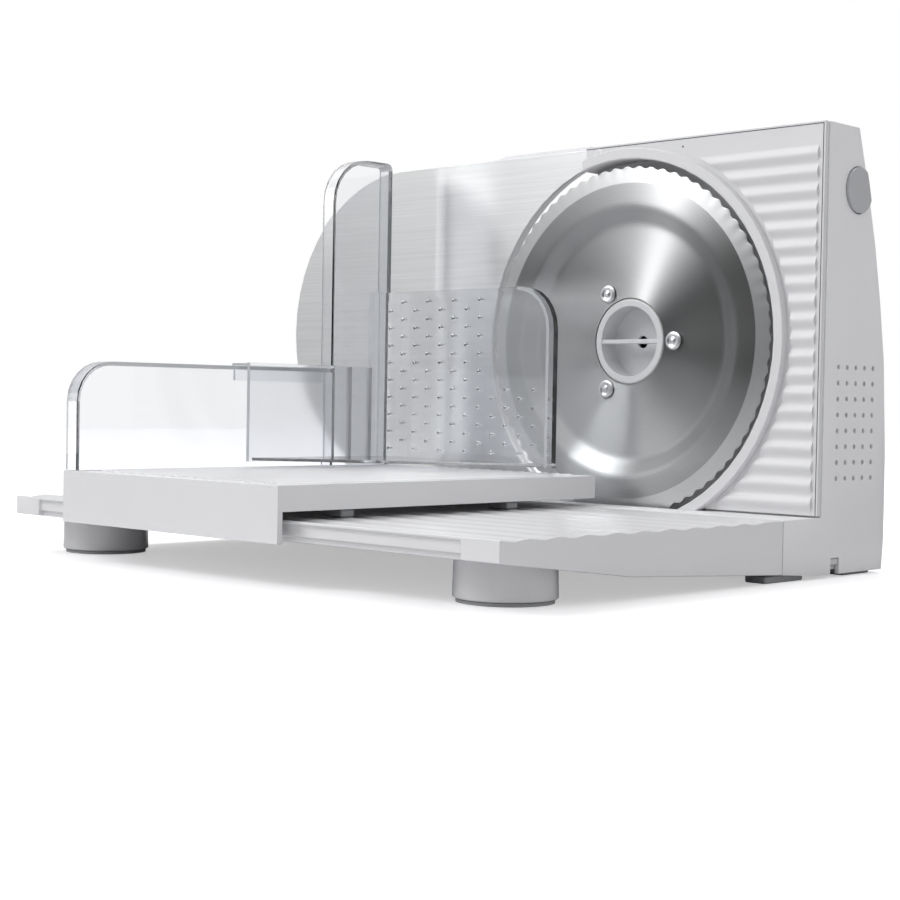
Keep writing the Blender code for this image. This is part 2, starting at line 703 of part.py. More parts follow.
def make_rear_cover():
    cover = baked(housing_solid("rear_cover", 0, HOUSING_BOTTOM))
    hollow = baked(housing_solid("hollow", WALL, -OVERRUN))
    cut(cover, hollow)
    bosses = []
    wells = []
    holes = []
    for x, z in screw_places():
        outside = back_place(z)
        seat = outside - SCREW_HEAD_HEIGHT - WALL / 2
        bosses.append(rod("boss", "y", (x, z), (seat - WALL, outside - WALL / 2),
                          SCREW_HEAD_RADIUS + WALL, sides=12))
        wells.append(rod("well", "y", (x, z), (seat, outside + OVERRUN),
                         SCREW_HEAD_RADIUS + RUNNING_GAP, sides=12))
        holes.append(rod("hole", "y", (x, z), (seat - WALL - OVERRUN, outside),
                         SCREW_RADIUS + RUNNING_GAP, sides=12))
    join(cover, gathered("bosses", bosses))
    cut(cover, gathered("wells", wells), gathered("holes", holes))
    slot = rod("blade_slot", "y", HUB,
               (-RING_PROUD - RUNNING_GAP, DISH_BACK + SEAT_GAP),
               RING_OUTER_RADIUS + RUNNING_GAP, sides=WIDE_STEPS)
    relief = box("relief", (TABLE_LEFT - OVERRUN, PANEL_LEFT),
                 (TABLE_BACK - OVERRUN, DISH_BACK + SEAT_GAP),
                 (TABLE_TOP, HOUSING_HEIGHT + OVERRUN))
    button_well = rod("button_well", "x", (BUTTON_Y, BUTTON_Z),
                      (BUTTON_BACK_X - BUTTON_TRAVEL, HOUSING_RIGHT + OVERRUN),
                      BUTTON_RADIUS + RUNNING_GAP)
    notch = box("notch", (HOUSING_RIGHT - WALL - OVERRUN, HOUSING_RIGHT + OVERRUN),
                (NOTCH_FRONT, NOTCH_BACK), (-OVERRUN, NOTCH_TOP))
    vents = []
    for column in range(VENT_COLUMNS):
        for row in range(VENT_ROWS):
            centre = (VENT_FIRST_Y + VENT_PITCH_Y * column,
                      VENT_FIRST_Z + VENT_PITCH_Z * row)
            vents.append(rod("vent", "x", centre,
                             (HOUSING_RIGHT - WALL - OVERRUN, HOUSING_RIGHT + OVERRUN),
                             VENT_RADIUS, sides=VENT_SIDES))
    cut(cover, slot, relief, button_well, notch, gathered("vents", vents))
    finish(cover, "assembly", WHITE, 0.35)


def make_housing_frame():
    inset = WALL + SEAT_GAP
    bottom = TABLE_BACK_BOTTOM + FLOOR_THICKNESS + SEAT_GAP
    top = HOUSING_HEIGHT - inset
    right = HOUSING_RIGHT - inset
    edge = tower_edge(inset)
    outline = ([(right, bottom), (right, top), (PANEL_LEFT + inset, top)]
               + edge + [(edge[-1][0], bottom)])
    bush_hole = circle(HUB, BUSH_OUTER_RADIUS + SEAT_GAP)
    frame = plate("housing_frame", "xz", [outline, bush_hole], (FRAME_FRONT, FRAME_BACK))
    posts = []
    post_holes = []
    for x, z in screw_places():
        seat = back_place(z) - SCREW_HEAD_HEIGHT - WALL / 2 - WALL
        posts.append(rod("post", "y", (x, z), (FRAME_BACK - EDGE, seat - SEAT_GAP),
                         POST_RADIUS, sides=16))
        post_holes.append(rod("post_hole", "y", (x, z), (FRAME_BACK, seat + OVERRUN),
                              SCREW_RADIUS + SEAT_GAP, sides=12))
    bearing = rod("bearing", "y", (PINION_X, HUB_HEIGHT),
                  (FRAME_BACK - EDGE, WHEEL_FRONT - EDGE), PINION_SHAFT_RADIUS + WALL,
                  sides=24)
    shaft_hole = rod("shaft_hole", "y", (PINION_X, HUB_HEIGHT),
                     (FRAME_FRONT - OVERRUN, WHEEL_FRONT + OVERRUN),
                     PINION_SHAFT_RADIUS + SEAT_GAP, sides=24)
    join(frame, gathered("posts", posts), bearing)
    cut(frame, gathered("post_holes", post_holes), shaft_hole)
    finish(frame, "assembly", PALE_GREY, 0.5)


def make_floor_plate():
    side = WALL + SEAT_GAP
    floor = box("floor_plate", (TABLE_LEFT + side, HOUSING_RIGHT - side),
                (TABLE_BACK + SEAT_GAP + side, back_place(0) - side),
                (TABLE_BACK_BOTTOM, TABLE_BACK_BOTTOM + FLOOR_THICKNESS))
    finish(floor, "assembly", PALE_GREY, 0.5)


def make_feet():
    spans = ((TABLE_LEFT + FOOT_INSET, TABLE_LEFT + FOOT_INSET + FOOT_WIDTH),
             (HOUSING_RIGHT - FOOT_INSET - FOOT_WIDTH, HOUSING_RIGHT - FOOT_INSET))
    number = 0
    for x_span in spans:
        for y_span in (FRONT_FOOT_SPAN, BACK_FOOT_SPAN):
            number += 1
            foot = box(f"rubber_foot_{number}", x_span, y_span,
                       (0, TABLE_BACK_BOTTOM - SEAT_GAP))
            finish(soften(foot), "assembly", DARK_RUBBER, 0.8)


def make_cord_gland():
    low = TABLE_BACK_BOTTOM + FLOOR_THICKNESS + SEAT_GAP
    gland = box("cord_gland", (HOUSING_RIGHT - WALL, HOUSING_RIGHT - EDGE),
                (NOTCH_FRONT + SEAT_GAP, NOTCH_BACK - SEAT_GAP),
                (low, NOTCH_TOP - SEAT_GAP))
    finish(soften(gland), "assembly", PALE_GREY, 0.6)


def make_cover_screws():
    number = 0
    for x, z in screw_places():
        number += 1
        seat = back_place(z) - SCREW_HEAD_HEIGHT - WALL / 2 + SEAT_GAP
        head = seat + SCREW_HEAD_HEIGHT - SEAT_GAP
        profile = [(0, head), (SCREW_HEAD_RADIUS - EDGE, head),
                   (SCREW_HEAD_RADIUS, head - EDGE), (SCREW_HEAD_RADIUS, seat),
                   (SCREW_RADIUS, seat), (SCREW_RADIUS, seat - SCREW_LENGTH),
                   (0, seat - SCREW_LENGTH)]
        screw = turned(f"cover_screw_{number}", "y", (x, z), profile, steps=12)
        slot = box("slot", (x - SCREW_HEAD_RADIUS, x + SCREW_HEAD_RADIUS),
                   (head - EDGE, head + OVERRUN), (z - EDGE / 2, z + EDGE / 2))
        finish(cut(screw, slot), "assembly", STEEL, 0.35, 1)


# Ribbed cover: panel, ribs, the ring round the blade and the dish behind it

def make_ribbed_cover():
    right = HOUSING_RIGHT - EDGE
    panel = box("ribbed_cover", (PANEL_LEFT, right), (0, PANEL_THICKNESS),
                (PANEL_BOTTOM, HOUSING_HEIGHT))
    ridges = ridged_outline(RIB_LOWEST_Z, RIB_PITCH, RIB_COUNT, 0, -RIB_HEIGHT, RIB_WIDTH,
                            RIB_STEPS)
    middle = PANEL_THICKNESS / 2
    outline = ([(middle, RIB_LOWEST_Z - RIB_WIDTH / 2)] + [(y, z) for z, y in ridges]
               + [(middle, RIB_TOP_Z + RIB_WIDTH / 2)])
    ribs = plate("ribs", "yz", [outline], (PANEL_LEFT + EDGE, right - RIB_END_MARGIN))
    cut(ribs, rod("rib_free_band", "y", HUB, (-RIB_HEIGHT - OVERRUN, 0),
                  RING_OUTER_RADIUS + RIB_RING_GAP, sides=WIDE_STEPS))
    join(panel, ribs)
    cut(panel, rod("blade_opening", "y", HUB, (-RING_PROUD - OVERRUN, PANEL_THICKNESS + OVERRUN),
                   RING_INNER_RADIUS + DISH_WALL / 2, sides=WIDE_STEPS))
    floor = DISH_BACK - DISH_WALL
    profile = [(DISH_HOLE_RADIUS, DISH_BACK), (RING_INNER_RADIUS + DISH_WALL, DISH_BACK),
               (RING_INNER_RADIUS + DISH_WALL, middle), (RING_OUTER_RADIUS, middle),
               (RING_OUTER_RADIUS, -RING_PROUD + 2 * EDGE),
               (RING_OUTER_RADIUS - EDGE, -RING_PROUD),
               (RING_INNER_RADIUS + EDGE, -RING_PROUD),
               (RING_INNER_RADIUS, -RING_PROUD + EDGE),
               (RING_INNER_RADIUS, floor), (DISH_HOLE_RADIUS, floor)]
    dish = turned("dish", "y", HUB, profile, WIDE_STEPS, closed=True)
    join(panel, dish)
    far_left = -RING_OUTER_RADIUS - OVERRUN
    over = HOUSING_HEIGHT + OVERRUN
    front_relief = box("front_relief", (far_left, PANEL_LEFT),
                       (-RING_PROUD - OVERRUN, floor), (TABLE_TOP, over))
    outside = ([(PANEL_LEFT, over)] + tower_edge(SEAT_GAP)
               + [(far_left, TABLE_TOP), (far_left, over)])
    outside_relief = plate("outside_relief", "xz", [outside],
                           (-RING_PROUD - OVERRUN, DISH_BACK + OVERRUN))
    pinion_hole = rod("pinion_hole", "y", (PINION_X, HUB_HEIGHT),
                      (floor - OVERRUN, DISH_BACK + OVERRUN),
                      PINION_PITCH_RADIUS + GEAR_MODULE + RUNNING_GAP)
    cut(panel, front_relief, outside_relief, pinion_hole)
    finish(panel, "assembly", WHITE, 0.3)


# Power button in its well, and the switch behind it

def make_power_button():
    front = HOUSING_RIGHT + BUTTON_PROUD
    button = rod("power_button", "x", (BUTTON_Y, BUTTON_Z), (BUTTON_BACK_X, front),
                 BUTTON_RADIUS)
    inset = RUNNING_GAP
    slope = [(depth * HOUSING_BACK - inset, share * HOUSING_HEIGHT)
             for depth, share in SIDE_PROFILE_SHARES]
    prism = plate("button_trim", "yz",
                  [[(0, 0), (0, HOUSING_HEIGHT)] + slope + [(slope[-1][0], 0)]],
                  (BUTTON_BACK_X - OVERRUN, front + OVERRUN))
    keep(button, prism)
    stem = rod("stem", "x", (BUTTON_Y, BUTTON_Z),
               (BUTTON_BACK_X - STEM_LENGTH, BUTTON_BACK_X + BUTTON_PROUD), STEM_RADIUS,
               sides=16)
    join(button, stem)
    finish(button, "button_slide", PALE_GREY, 0.25)


def make_switch_body():
    right = BUTTON_BACK_X - BUTTON_TRAVEL - RUNNING_GAP
    body = box("switch_body", (right - SWITCH_LENGTH, right),
               (FRAME_BACK + SEAT_GAP, SWITCH_BACK),
               (BUTTON_Z - SWITCH_HALF_HEIGHT, BUTTON_Z + SWITCH_HALF_HEIGHT))
    bore = rod("bore", "x", (BUTTON_Y, BUTTON_Z),
               (BUTTON_BACK_X - STEM_LENGTH - BUTTON_TRAVEL - RUNNING_GAP, right + OVERRUN),
               STEM_RADIUS + RUNNING_GAP, sides=16)
    finish(cut(body, bore), "assembly", DARK_RUBBER, 0.5)


# Blade with its gear and rivets

def rivet_places():
    return [arc(HUB, RIVET_CIRCLE_RADIUS, 360 * index / RIVET_COUNT, 0, 1)[0]
            for index in range(RIVET_COUNT)]


def rivet_holes(span):
    return gathered("rivet_holes", [
        rod("rivet_hole", "y", place, span, RIVET_SHANK_RADIUS + SEAT_GAP, sides=12)
        for place in rivet_places()])


def make_blade():
    crown = -BLADE_THICKNESS + BLADE_EDGE_THICKNESS
    profile = [(BLADE_HOLE_RADIUS, BLADE_DISC_BACK),
               (BLADE_STEP_INNER_RADIUS, BLADE_DISC_BACK),
               (BLADE_STEP_OUTER_RADIUS, crown + BLADE_THICKNESS),
               (BLADE_RADIUS, BLADE_EDGE_THICKNESS), (BLADE_RADIUS, 0),
               (BLADE_BEVEL_RADIUS, crown), (BLADE_STEP_OUTER_RADIUS, crown),
               (BLADE_STEP_INNER_RADIUS, BLADE_DISC_FRONT),
               (BLADE_HOLE_RADIUS, BLADE_DISC_FRONT)]
    blade = baked(turned("blade", "y", HUB, profile, 2 * BLADE_SCALLOPS, closed=True))
    for vertex in blade.data.vertices:
        radius = math.hypot(vertex.co.x, vertex.co.y)
        if radius > BLADE_RADIUS - EDGE:
            angle = math.atan2(vertex.co.y, vertex.co.x)
            scallop = SCALLOP_DEPTH * (1 - math.cos(BLADE_SCALLOPS * angle)) / 2
            vertex.co.x *= (radius - scallop) / radius
            vertex.co.y *= (radius - scallop) / radius
    cut(blade, rivet_holes((-OVERRUN, BLADE_DISC_BACK + OVERRUN)))
    finish(blade, "blade_spin", STEEL, 0.22, 1)


def make_blade_gear():
    teeth = gear_outline(HUB, GEAR_TEETH, GEAR_MODULE, 0)
    lip_hole = circle(HUB, CUP_OUTER_RADIUS + RUNNING_GAP)
    gear = plate("blade_gear", "xz", [teeth, lip_hole], (GEAR_FRONT, GEAR_BACK))
    bore = rod("bore", "y", HUB, (GEAR_FRONT + GEAR_LIP, GEAR_BACK + OVERRUN),
               BUSH_OUTER_RADIUS + RUNNING_GAP)
    cut(gear, bore, rivet_holes((-OVERRUN, GEAR_BACK + OVERRUN)))
    finish(gear, "blade_spin", PALE_GREY, 0.5)


def make_rivets():
    seat = BLADE_DISC_FRONT - SEAT_GAP
    top = seat - RIVET_HEAD_HEIGHT
    for number, place in enumerate(rivet_places(), start=1):
        profile = [(0, GEAR_BACK - EDGE), (RIVET_SHANK_RADIUS, GEAR_BACK - EDGE),
                   (RIVET_SHANK_RADIUS, seat), (RIVET_HEAD_RADIUS, seat),
                   (RIVET_HEAD_RADIUS, seat - EDGE / 2),
                   (RIVET_HEAD_RADIUS - EDGE, top + EDGE / 2),
                   (RIVET_SHANK_RADIUS, top), (0, top)]
        rivet = turned(f"blade_rivet_{number}", "y", place, profile, steps=12)
        finish(rivet, "blade_spin", STEEL, 0.25, 1)


# Lock knob: the cup through the blade's centre, and the bush that it turns in

def make_lock_knob():
    rim_back = BLADE_DISC_BACK
    rim_front = rim_back - CUP_RIM_THICKNESS
    floor = rim_front + CUP_DEPTH
    profile = [(CUP_HOLE_RADIUS, floor + CUP_FLOOR), (CUP_OUTER_RADIUS, floor + CUP_FLOOR),
               (CUP_OUTER_RADIUS, rim_back), (CUP_RIM_RADIUS, rim_back),
               (CUP_RIM_RADIUS, rim_front + EDGE), (CUP_RIM_RADIUS - EDGE, rim_front),
               (CUP_INNER_RADIUS, rim_front), (CUP_INNER_RADIUS, floor),
               (CUP_HOLE_RADIUS, floor)]
    knob = turned("lock_knob", "y", HUB, profile, closed=True)
    reach = (CUP_INNER_RADIUS + CUP_OUTER_RADIUS) / 2
    bar = box("bar", (-reach, reach), (rim_front + EDGE, rim_front + EDGE + CUP_BAR_DEPTH),
              (HUB_HEIGHT - CUP_BAR_WIDTH / 2, HUB_HEIGHT + CUP_BAR_WIDTH / 2))
    finish(join(knob, bar), "lock_turn", PALE_GREY, 0.4)


def make_spindle_bush():
    front = GEAR_FRONT + GEAR_LIP + SEAT_GAP
    flange_back = FRAME_FRONT - SEAT_GAP
    profile = [(BUSH_INNER_RADIUS, FRAME_BACK + BUSH_FLANGE),
               (BUSH_OUTER_RADIUS, FRAME_BACK + BUSH_FLANGE),
               (BUSH_OUTER_RADIUS, flange_back), (BUSH_FLANGE_RADIUS, flange_back),
               (BUSH_FLANGE_RADIUS, flange_back - BUSH_FLANGE),
               (BUSH_OUTER_RADIUS, flange_back - BUSH_FLANGE),
               (BUSH_OUTER_RADIUS, front), (BUSH_INNER_RADIUS, front)]
    bush = turned("spindle_bush", "y", HUB, profile, closed=True)
    finish(bush, "assembly", DARK_RUBBER, 0.4)


# Drive: pinion and worm wheel on one shaft, worm on the rotor's shaft

def make_drive_pinion():
    axis = (PINION_X, HUB_HEIGHT)
    half_step = 180 / PINION_TEETH
    teeth = gear_outline(axis, PINION_TEETH, GEAR_MODULE, half_step)
    pinion = plate("drive_pinion", "xz", [teeth], (GEAR_FRONT + EDGE, GEAR_BACK))
    shaft = rod("shaft", "y", axis, (GEAR_FRONT + SEAT_GAP, WHEEL_BACK + WALL),
                PINION_SHAFT_RADIUS, sides=24)
    finish(join(pinion, shaft), "pinion_spin", STEEL, 0.35, 1)


def make_worm_wheel():
    axis = (PINION_X, HUB_HEIGHT)
    half_step = 180 / WHEEL_TEETH
    teeth = gear_outline(axis, WHEEL_TEETH, WHEEL_MODULE, half_step + WORM_SIDE_ANGLE)
    hole = circle(axis, PINION_SHAFT_RADIUS + SEAT_GAP, 24)
    wheel = plate("worm_wheel", "xz", [teeth, hole], (WHEEL_FRONT, WHEEL_BACK))
    finish(wheel, "pinion_spin", WHITE, 0.5)


def thread_radius(turns):
    """Radius of the worm where its thread is `turns` away from a crest."""
    away = abs(turns - round(turns))
    root = WORM_PITCH_RADIUS - WHEEL_MODULE * DEDENDUM_SHARE
    tip = WORM_PITCH_RADIUS + WHEEL_MODULE * ADDENDUM_SHARE
    crest = TOOTH_TIP_SHARE / 2
    foot = TOOTH_ROOT_SHARE / 2
    share = min(max((away - crest) / (foot - crest), 0), 1)
    return tip + (root - tip) * share


def make_worm_shaft():
    left = PINION_X - WORM_HALF_LENGTH - WORM_END_CLEARANCE - BEARING_LENGTH + EDGE
    right = motor_left() + MOTOR_SOCKET_DEPTH - WALL
    start = PINION_X - WORM_HALF_LENGTH
    count = WORM_TURNS * WORM_STATIONS
    stations = [(left, None), (start - EDGE, None)]
    for index in range(count + 1):
        offset = index / WORM_STATIONS - WORM_TURNS / 2
        stations.append((PINION_X + offset * WORM_PITCH, offset))
    stations += [(PINION_X + WORM_HALF_LENGTH + EDGE, None), (right, None)]
    grid = bmesh.new()
    rings = []
    for x, offset in stations:
        ring = []
        for side in range(WORM_SIDES):
            turn = side / WORM_SIDES
            radius = ROTOR_SHAFT_RADIUS
            if offset is not None:
                radius = thread_radius(offset - turn)
            angle = 2 * math.pi * turn
            ring.append(grid.verts.new((x - PINION_X, -radius * math.sin(angle),
                                        radius * math.cos(angle))))
        rings.append(ring)
    for ring, following in zip(rings, rings[1:]):
        for side in range(WORM_SIDES):
            other = (side + 1) % WORM_SIDES
            grid.faces.new((ring[side], ring[other], following[other], following[side]))
    grid.faces.new(rings[0])
    grid.faces.new(rings[-1])
    bmesh.ops.recalc_face_normals(grid, faces=grid.faces)
    data = bpy.data.meshes.new("worm_shaft")
    grid.to_mesh(data)
    grid.free()
    shaft = bpy.data.objects.new("worm_shaft", data)
    parts.objects.link(shaft)
    shaft.location = (PINION_X, ROTOR_Y, ROTOR_Z)
    finish(shaft, "rotor_spin", STEEL, 0.3, 1)


def motor_left():
    """Left face of the motor can, right of the worm and the bracket."""
    return (PINION_X + WORM_HALF_LENGTH + WORM_END_CLEARANCE + BRACKET_THICKNESS
            + SEAT_GAP)


def make_motor_can():
    left = motor_left()
    right = HOUSING_RIGHT - WALL - MOTOR_END_CLEARANCE
    bore = ROTOR_SHAFT_RADIUS + RUNNING_GAP
    profile = [(0, right), (MOTOR_RADIUS - EDGE, right), (MOTOR_RADIUS, right - EDGE),
               (MOTOR_RADIUS, left), (bore, left), (bore, left + MOTOR_SOCKET_DEPTH),
               (0, left + MOTOR_SOCKET_DEPTH)]
    can = turned("motor_can", "x", (ROTOR_Y, ROTOR_Z), profile, steps=28)
    finish(can, "assembly", STEEL, 0.4, 1)


def bracket_plate(name, x_span, y_back, z_span):
    """An upright plate on the housing frame with a hole for the rotor's shaft."""
    plate_solid = box(name, x_span, (FRAME_BACK + SEAT_GAP, y_back), z_span)
    hole = rod("hole", "x", (ROTOR_Y, ROTOR_Z),
               (x_span[0] - OVERRUN, x_span[1] + OVERRUN),
               ROTOR_SHAFT_RADIUS + RUNNING_GAP, sides=16)
    return finish(cut(plate_solid, hole), "assembly", STEEL, 0.4, 1)


def make_motor_bracket():
    right = motor_left() - SEAT_GAP
    bracket_plate("motor_bracket", (right - BRACKET_THICKNESS, right), BRACKET_REACH,
                  (ROTOR_Z - MOTOR_RADIUS, ROTOR_Z + BEARING_HALF_HEIGHT + EDGE))


def make_worm_bearing():
    right = PINION_X - WORM_HALF_LENGTH - WORM_END_CLEARANCE
    bracket_plate("worm_bearing", (right - BEARING_LENGTH, right),
                  ROTOR_Y + BEARING_HALF_HEIGHT,
                  (ROTOR_Z - BEARING_HALF_HEIGHT, ROTOR_Z + BEARING_HALF_HEIGHT))


# Base table and its legs

def make_base_table():
    valley = TABLE_TOP - TABLE_RIDGE_HEIGHT
    ridges = ridged_outline(TABLE_RIDGE_FIRST_Y, TABLE_RIDGE_PITCH, TABLE_RIDGE_COUNT,
                            valley, TABLE_RIDGE_HEIGHT, TABLE_RIDGE_PITCH)
    outline = ([(TABLE_BACK, TABLE_BACK_BOTTOM), (TABLE_BEND_Y, TABLE_BEND_BOTTOM),
                (TABLE_FRONT, TABLE_FRONT_BOTTOM), (TABLE_FRONT, TABLE_TOP)]
               + ridges + [(TABLE_TREAD_BACK, TABLE_TOP), (TABLE_BACK, TABLE_TOP)])
    table = plate("base_table", "yz", [outline], (TABLE_LEFT, HOUSING_RIGHT))
    inner_front = TABLE_FRONT + BEAM_RECESS + WALL
    inner_top = TABLE_TOP - TABLE_TOP_WALL
    hollow = box("hollow", (TABLE_LEFT + WALL, HOUSING_RIGHT - WALL),
                 (inner_front, TABLE_BACK - WALL), (-OVERRUN, inner_top))
    between = (TABLE_LEFT + BEAM_BLOCK_WIDTH, HOUSING_RIGHT - BEAM_BLOCK_WIDTH)
    under_rail = box("under_rail", between,
                     (TABLE_FRONT - OVERRUN, TABLE_FRONT + BEAM_RECESS),
                     (-OVERRUN, BEAM_RAIL_BOTTOM))
    rail_face = box("rail_face", between,
                    (TABLE_FRONT - OVERRUN, TABLE_FRONT + RAIL_SETBACK),
                    (-OVERRUN, TABLE_TOP - TABLE_LIP))
    cut(table, hollow, under_rail, rail_face)
    finish(table, "assembly", WHITE, 0.35)


def make_legs():
    for side, x in (("left", LEG_LEFT_X), ("right", LEG_RIGHT_X)):
        bottom = LEG_PAD + SEAT_GAP
        profile = [(0, LEG_TOP), (LEG_RADIUS - EDGE, LEG_TOP), (LEG_RADIUS, bottom + EDGE),
                   (LEG_RADIUS - EDGE, bottom), (0, bottom)]
        leg = turned(f"front_leg_{side}", "z", (x, LEG_Y), profile, steps=40)
        finish(leg, "assembly", WHITE, 0.35)
        pad = rod(f"leg_pad_{side}", "z", (x, LEG_Y), (0, LEG_PAD),
                  LEG_RADIUS - LEG_PAD_INSET)
        finish(pad, "assembly", DARK_RUBBER, 0.8)


# Carriage, its glide pads and the clear thumb guard

def glide_places():
    half = GLIDE_LENGTH / 2
    return [(x, y)
            for x in (CARRIAGE_LEFT + GLIDE_INSET + half, CARRIAGE_RIGHT - GLIDE_INSET - half)
            for y in (GLIDE_FRONT_Y, GLIDE_BACK_Y)]


def make_carriage():
    ridges = ridged_outline(CARRIAGE_RIDGE_FIRST_X, CARRIAGE_RIDGE_PITCH,
                            CARRIAGE_RIDGE_COUNT, CARRIAGE_TOP, CARRIAGE_RIDGE_HEIGHT,
                            CARRIAGE_RIDGE_WIDTH)
    slab = box("carriage", (CARRIAGE_LEFT, CARRIAGE_RIGHT), (CARRIAGE_FRONT, CARRIAGE_BACK),
               (CARRIAGE_BOTTOM, CARRIAGE_TOP))
    below = CARRIAGE_TOP - CARRIAGE_RIDGE_HEIGHT
    ridge_outline = ([(ridges[0][0], below)] + ridges + [(ridges[-1][0], below)])
    tread = plate("tread", "xz", [ridge_outline], (CARRIAGE_RIDGE_FRONT, CARRIAGE_RIDGE_BACK))
    skirt = box("skirt", (CARRIAGE_LEFT, CARRIAGE_RIGHT),
                (CARRIAGE_FRONT, CARRIAGE_FRONT + SKIRT_THICKNESS),
                (SKIRT_BOTTOM, CARRIAGE_TOP - WALL))
    inner_skirt = CARRIAGE_FRONT + SKIRT_THICKNESS
    hook_top = BEAM_RAIL_BOTTOM - RUNNING_GAP
    hook = box("hook", (HOOK_LEFT, HOOK_RIGHT),
               (inner_skirt - SKIRT_THICKNESS / 2, inner_skirt + HOOK_REACH),
               (hook_top - HOOK_THICKNESS, hook_top))
    join(slab, tread, skirt, hook)
    hollow = box("hollow", (CARRIAGE_LEFT + SKIRT_THICKNESS, CARRIAGE_RIGHT - SKIRT_THICKNESS),
                 (inner_skirt + SKIRT_THICKNESS, CARRIAGE_BACK - SKIRT_THICKNESS),
                 (CARRIAGE_BOTTOM - OVERRUN, CARRIAGE_TOP - SKIRT_THICKNESS))
    cut(slab, hollow)
    bosses = []
    for x, y in glide_places():
        bosses.append(box("boss", (x - GLIDE_LENGTH / 2, x + GLIDE_LENGTH / 2),
                          (y - GLIDE_WIDTH / 2, y + GLIDE_WIDTH / 2),
                          (CARRIAGE_BOTTOM, CARRIAGE_TOP - SKIRT_THICKNESS / 2)))
    join(slab, gathered("bosses", bosses))
    finish(slab, "carriage_slide", WHITE, 0.35)


def make_glide_pads():
    for number, (x, y) in enumerate(glide_places(), start=1):
        pad = box(f"glide_pad_{number}", (x - GLIDE_LENGTH / 2, x + GLIDE_LENGTH / 2),
                  (y - GLIDE_WIDTH / 2, y + GLIDE_WIDTH / 2),
                  (TABLE_TOP + SEAT_GAP, CARRIAGE_BOTTOM - SEAT_GAP))
        finish(soften(pad), "carriage_slide", WHITE, 0.3)


def make_thumb_guard():
    bottom = CARRIAGE_TOP + SEAT_GAP
    corner = 2 * GUARD_FLANGE
    outline = rounded([
        (GUARD_FRONT, bottom, 0), (GUARD_FRONT, GUARD_LOW_TOP, GUARD_FRONT_RADIUS),
        (GUARD_STEP_Y, GUARD_LOW_TOP, 0), (GUARD_STEP_Y, HOUSING_HEIGHT, GUARD_SHOULDER_RADIUS),
        (GUARD_BACK, HOUSING_HEIGHT, corner), (GUARD_BACK, bottom, 0)])
    guard = plate("thumb_guard", "yz", [outline], (GUARD_FLANGE_LEFT, GUARD_RIGHT))
    low = rounded([
        (GUARD_FRONT + GUARD_FLANGE, bottom - OVERRUN, 0),
        (GUARD_FRONT + GUARD_FLANGE, GUARD_LOW_TOP - GUARD_FLANGE,
         GUARD_FRONT_RADIUS - GUARD_FLANGE),
        (GUARD_STEP_Y, GUARD_LOW_TOP - GUARD_FLANGE, 0),
        (GUARD_STEP_Y, bottom - OVERRUN, 0)])
    high = rounded([
        (GUARD_STEP_Y + GUARD_FLANGE, bottom - OVERRUN, 0),
        (GUARD_STEP_Y + GUARD_FLANGE, HOUSING_HEIGHT - GUARD_FLANGE,
         GUARD_SHOULDER_RADIUS - GUARD_FLANGE),
        (GUARD_BACK - GUARD_FLANGE, HOUSING_HEIGHT - GUARD_FLANGE, corner - GUARD_FLANGE),
        (GUARD_BACK - GUARD_FLANGE, bottom - OVERRUN, 0)])
    depth = (GUARD_FLANGE_LEFT - OVERRUN, GUARD_LEFT)
    cut(guard, plate("low_recess", "yz", [low], depth),
        plate("high_recess", "yz", [high], depth))
    finish(guard, "carriage_slide", CLEAR, 0.1)


# Clear remnant holder with its spikes

def holder_spikes(root):
    spikes = []
    for column in range(SPIKE_COLUMNS):
        rows = SPIKE_FULL_ROWS if column < SPIKE_FULL_COLUMNS else SPIKE_SHORT_ROWS
        for row in range(rows):
            x = SPIKE_FIRST_X + SPIKE_PITCH_X * column
            z = SPIKE_FIRST_Z + SPIKE_PITCH_Z * (row + column % 2 / 2)
            spikes.append(rod("spike", "y", (x, z), (root, root + EDGE + SPIKE_LENGTH),
                              SPIKE_RADIUS, 0, SPIKE_SIDES))
    return gathered("spikes", spikes)


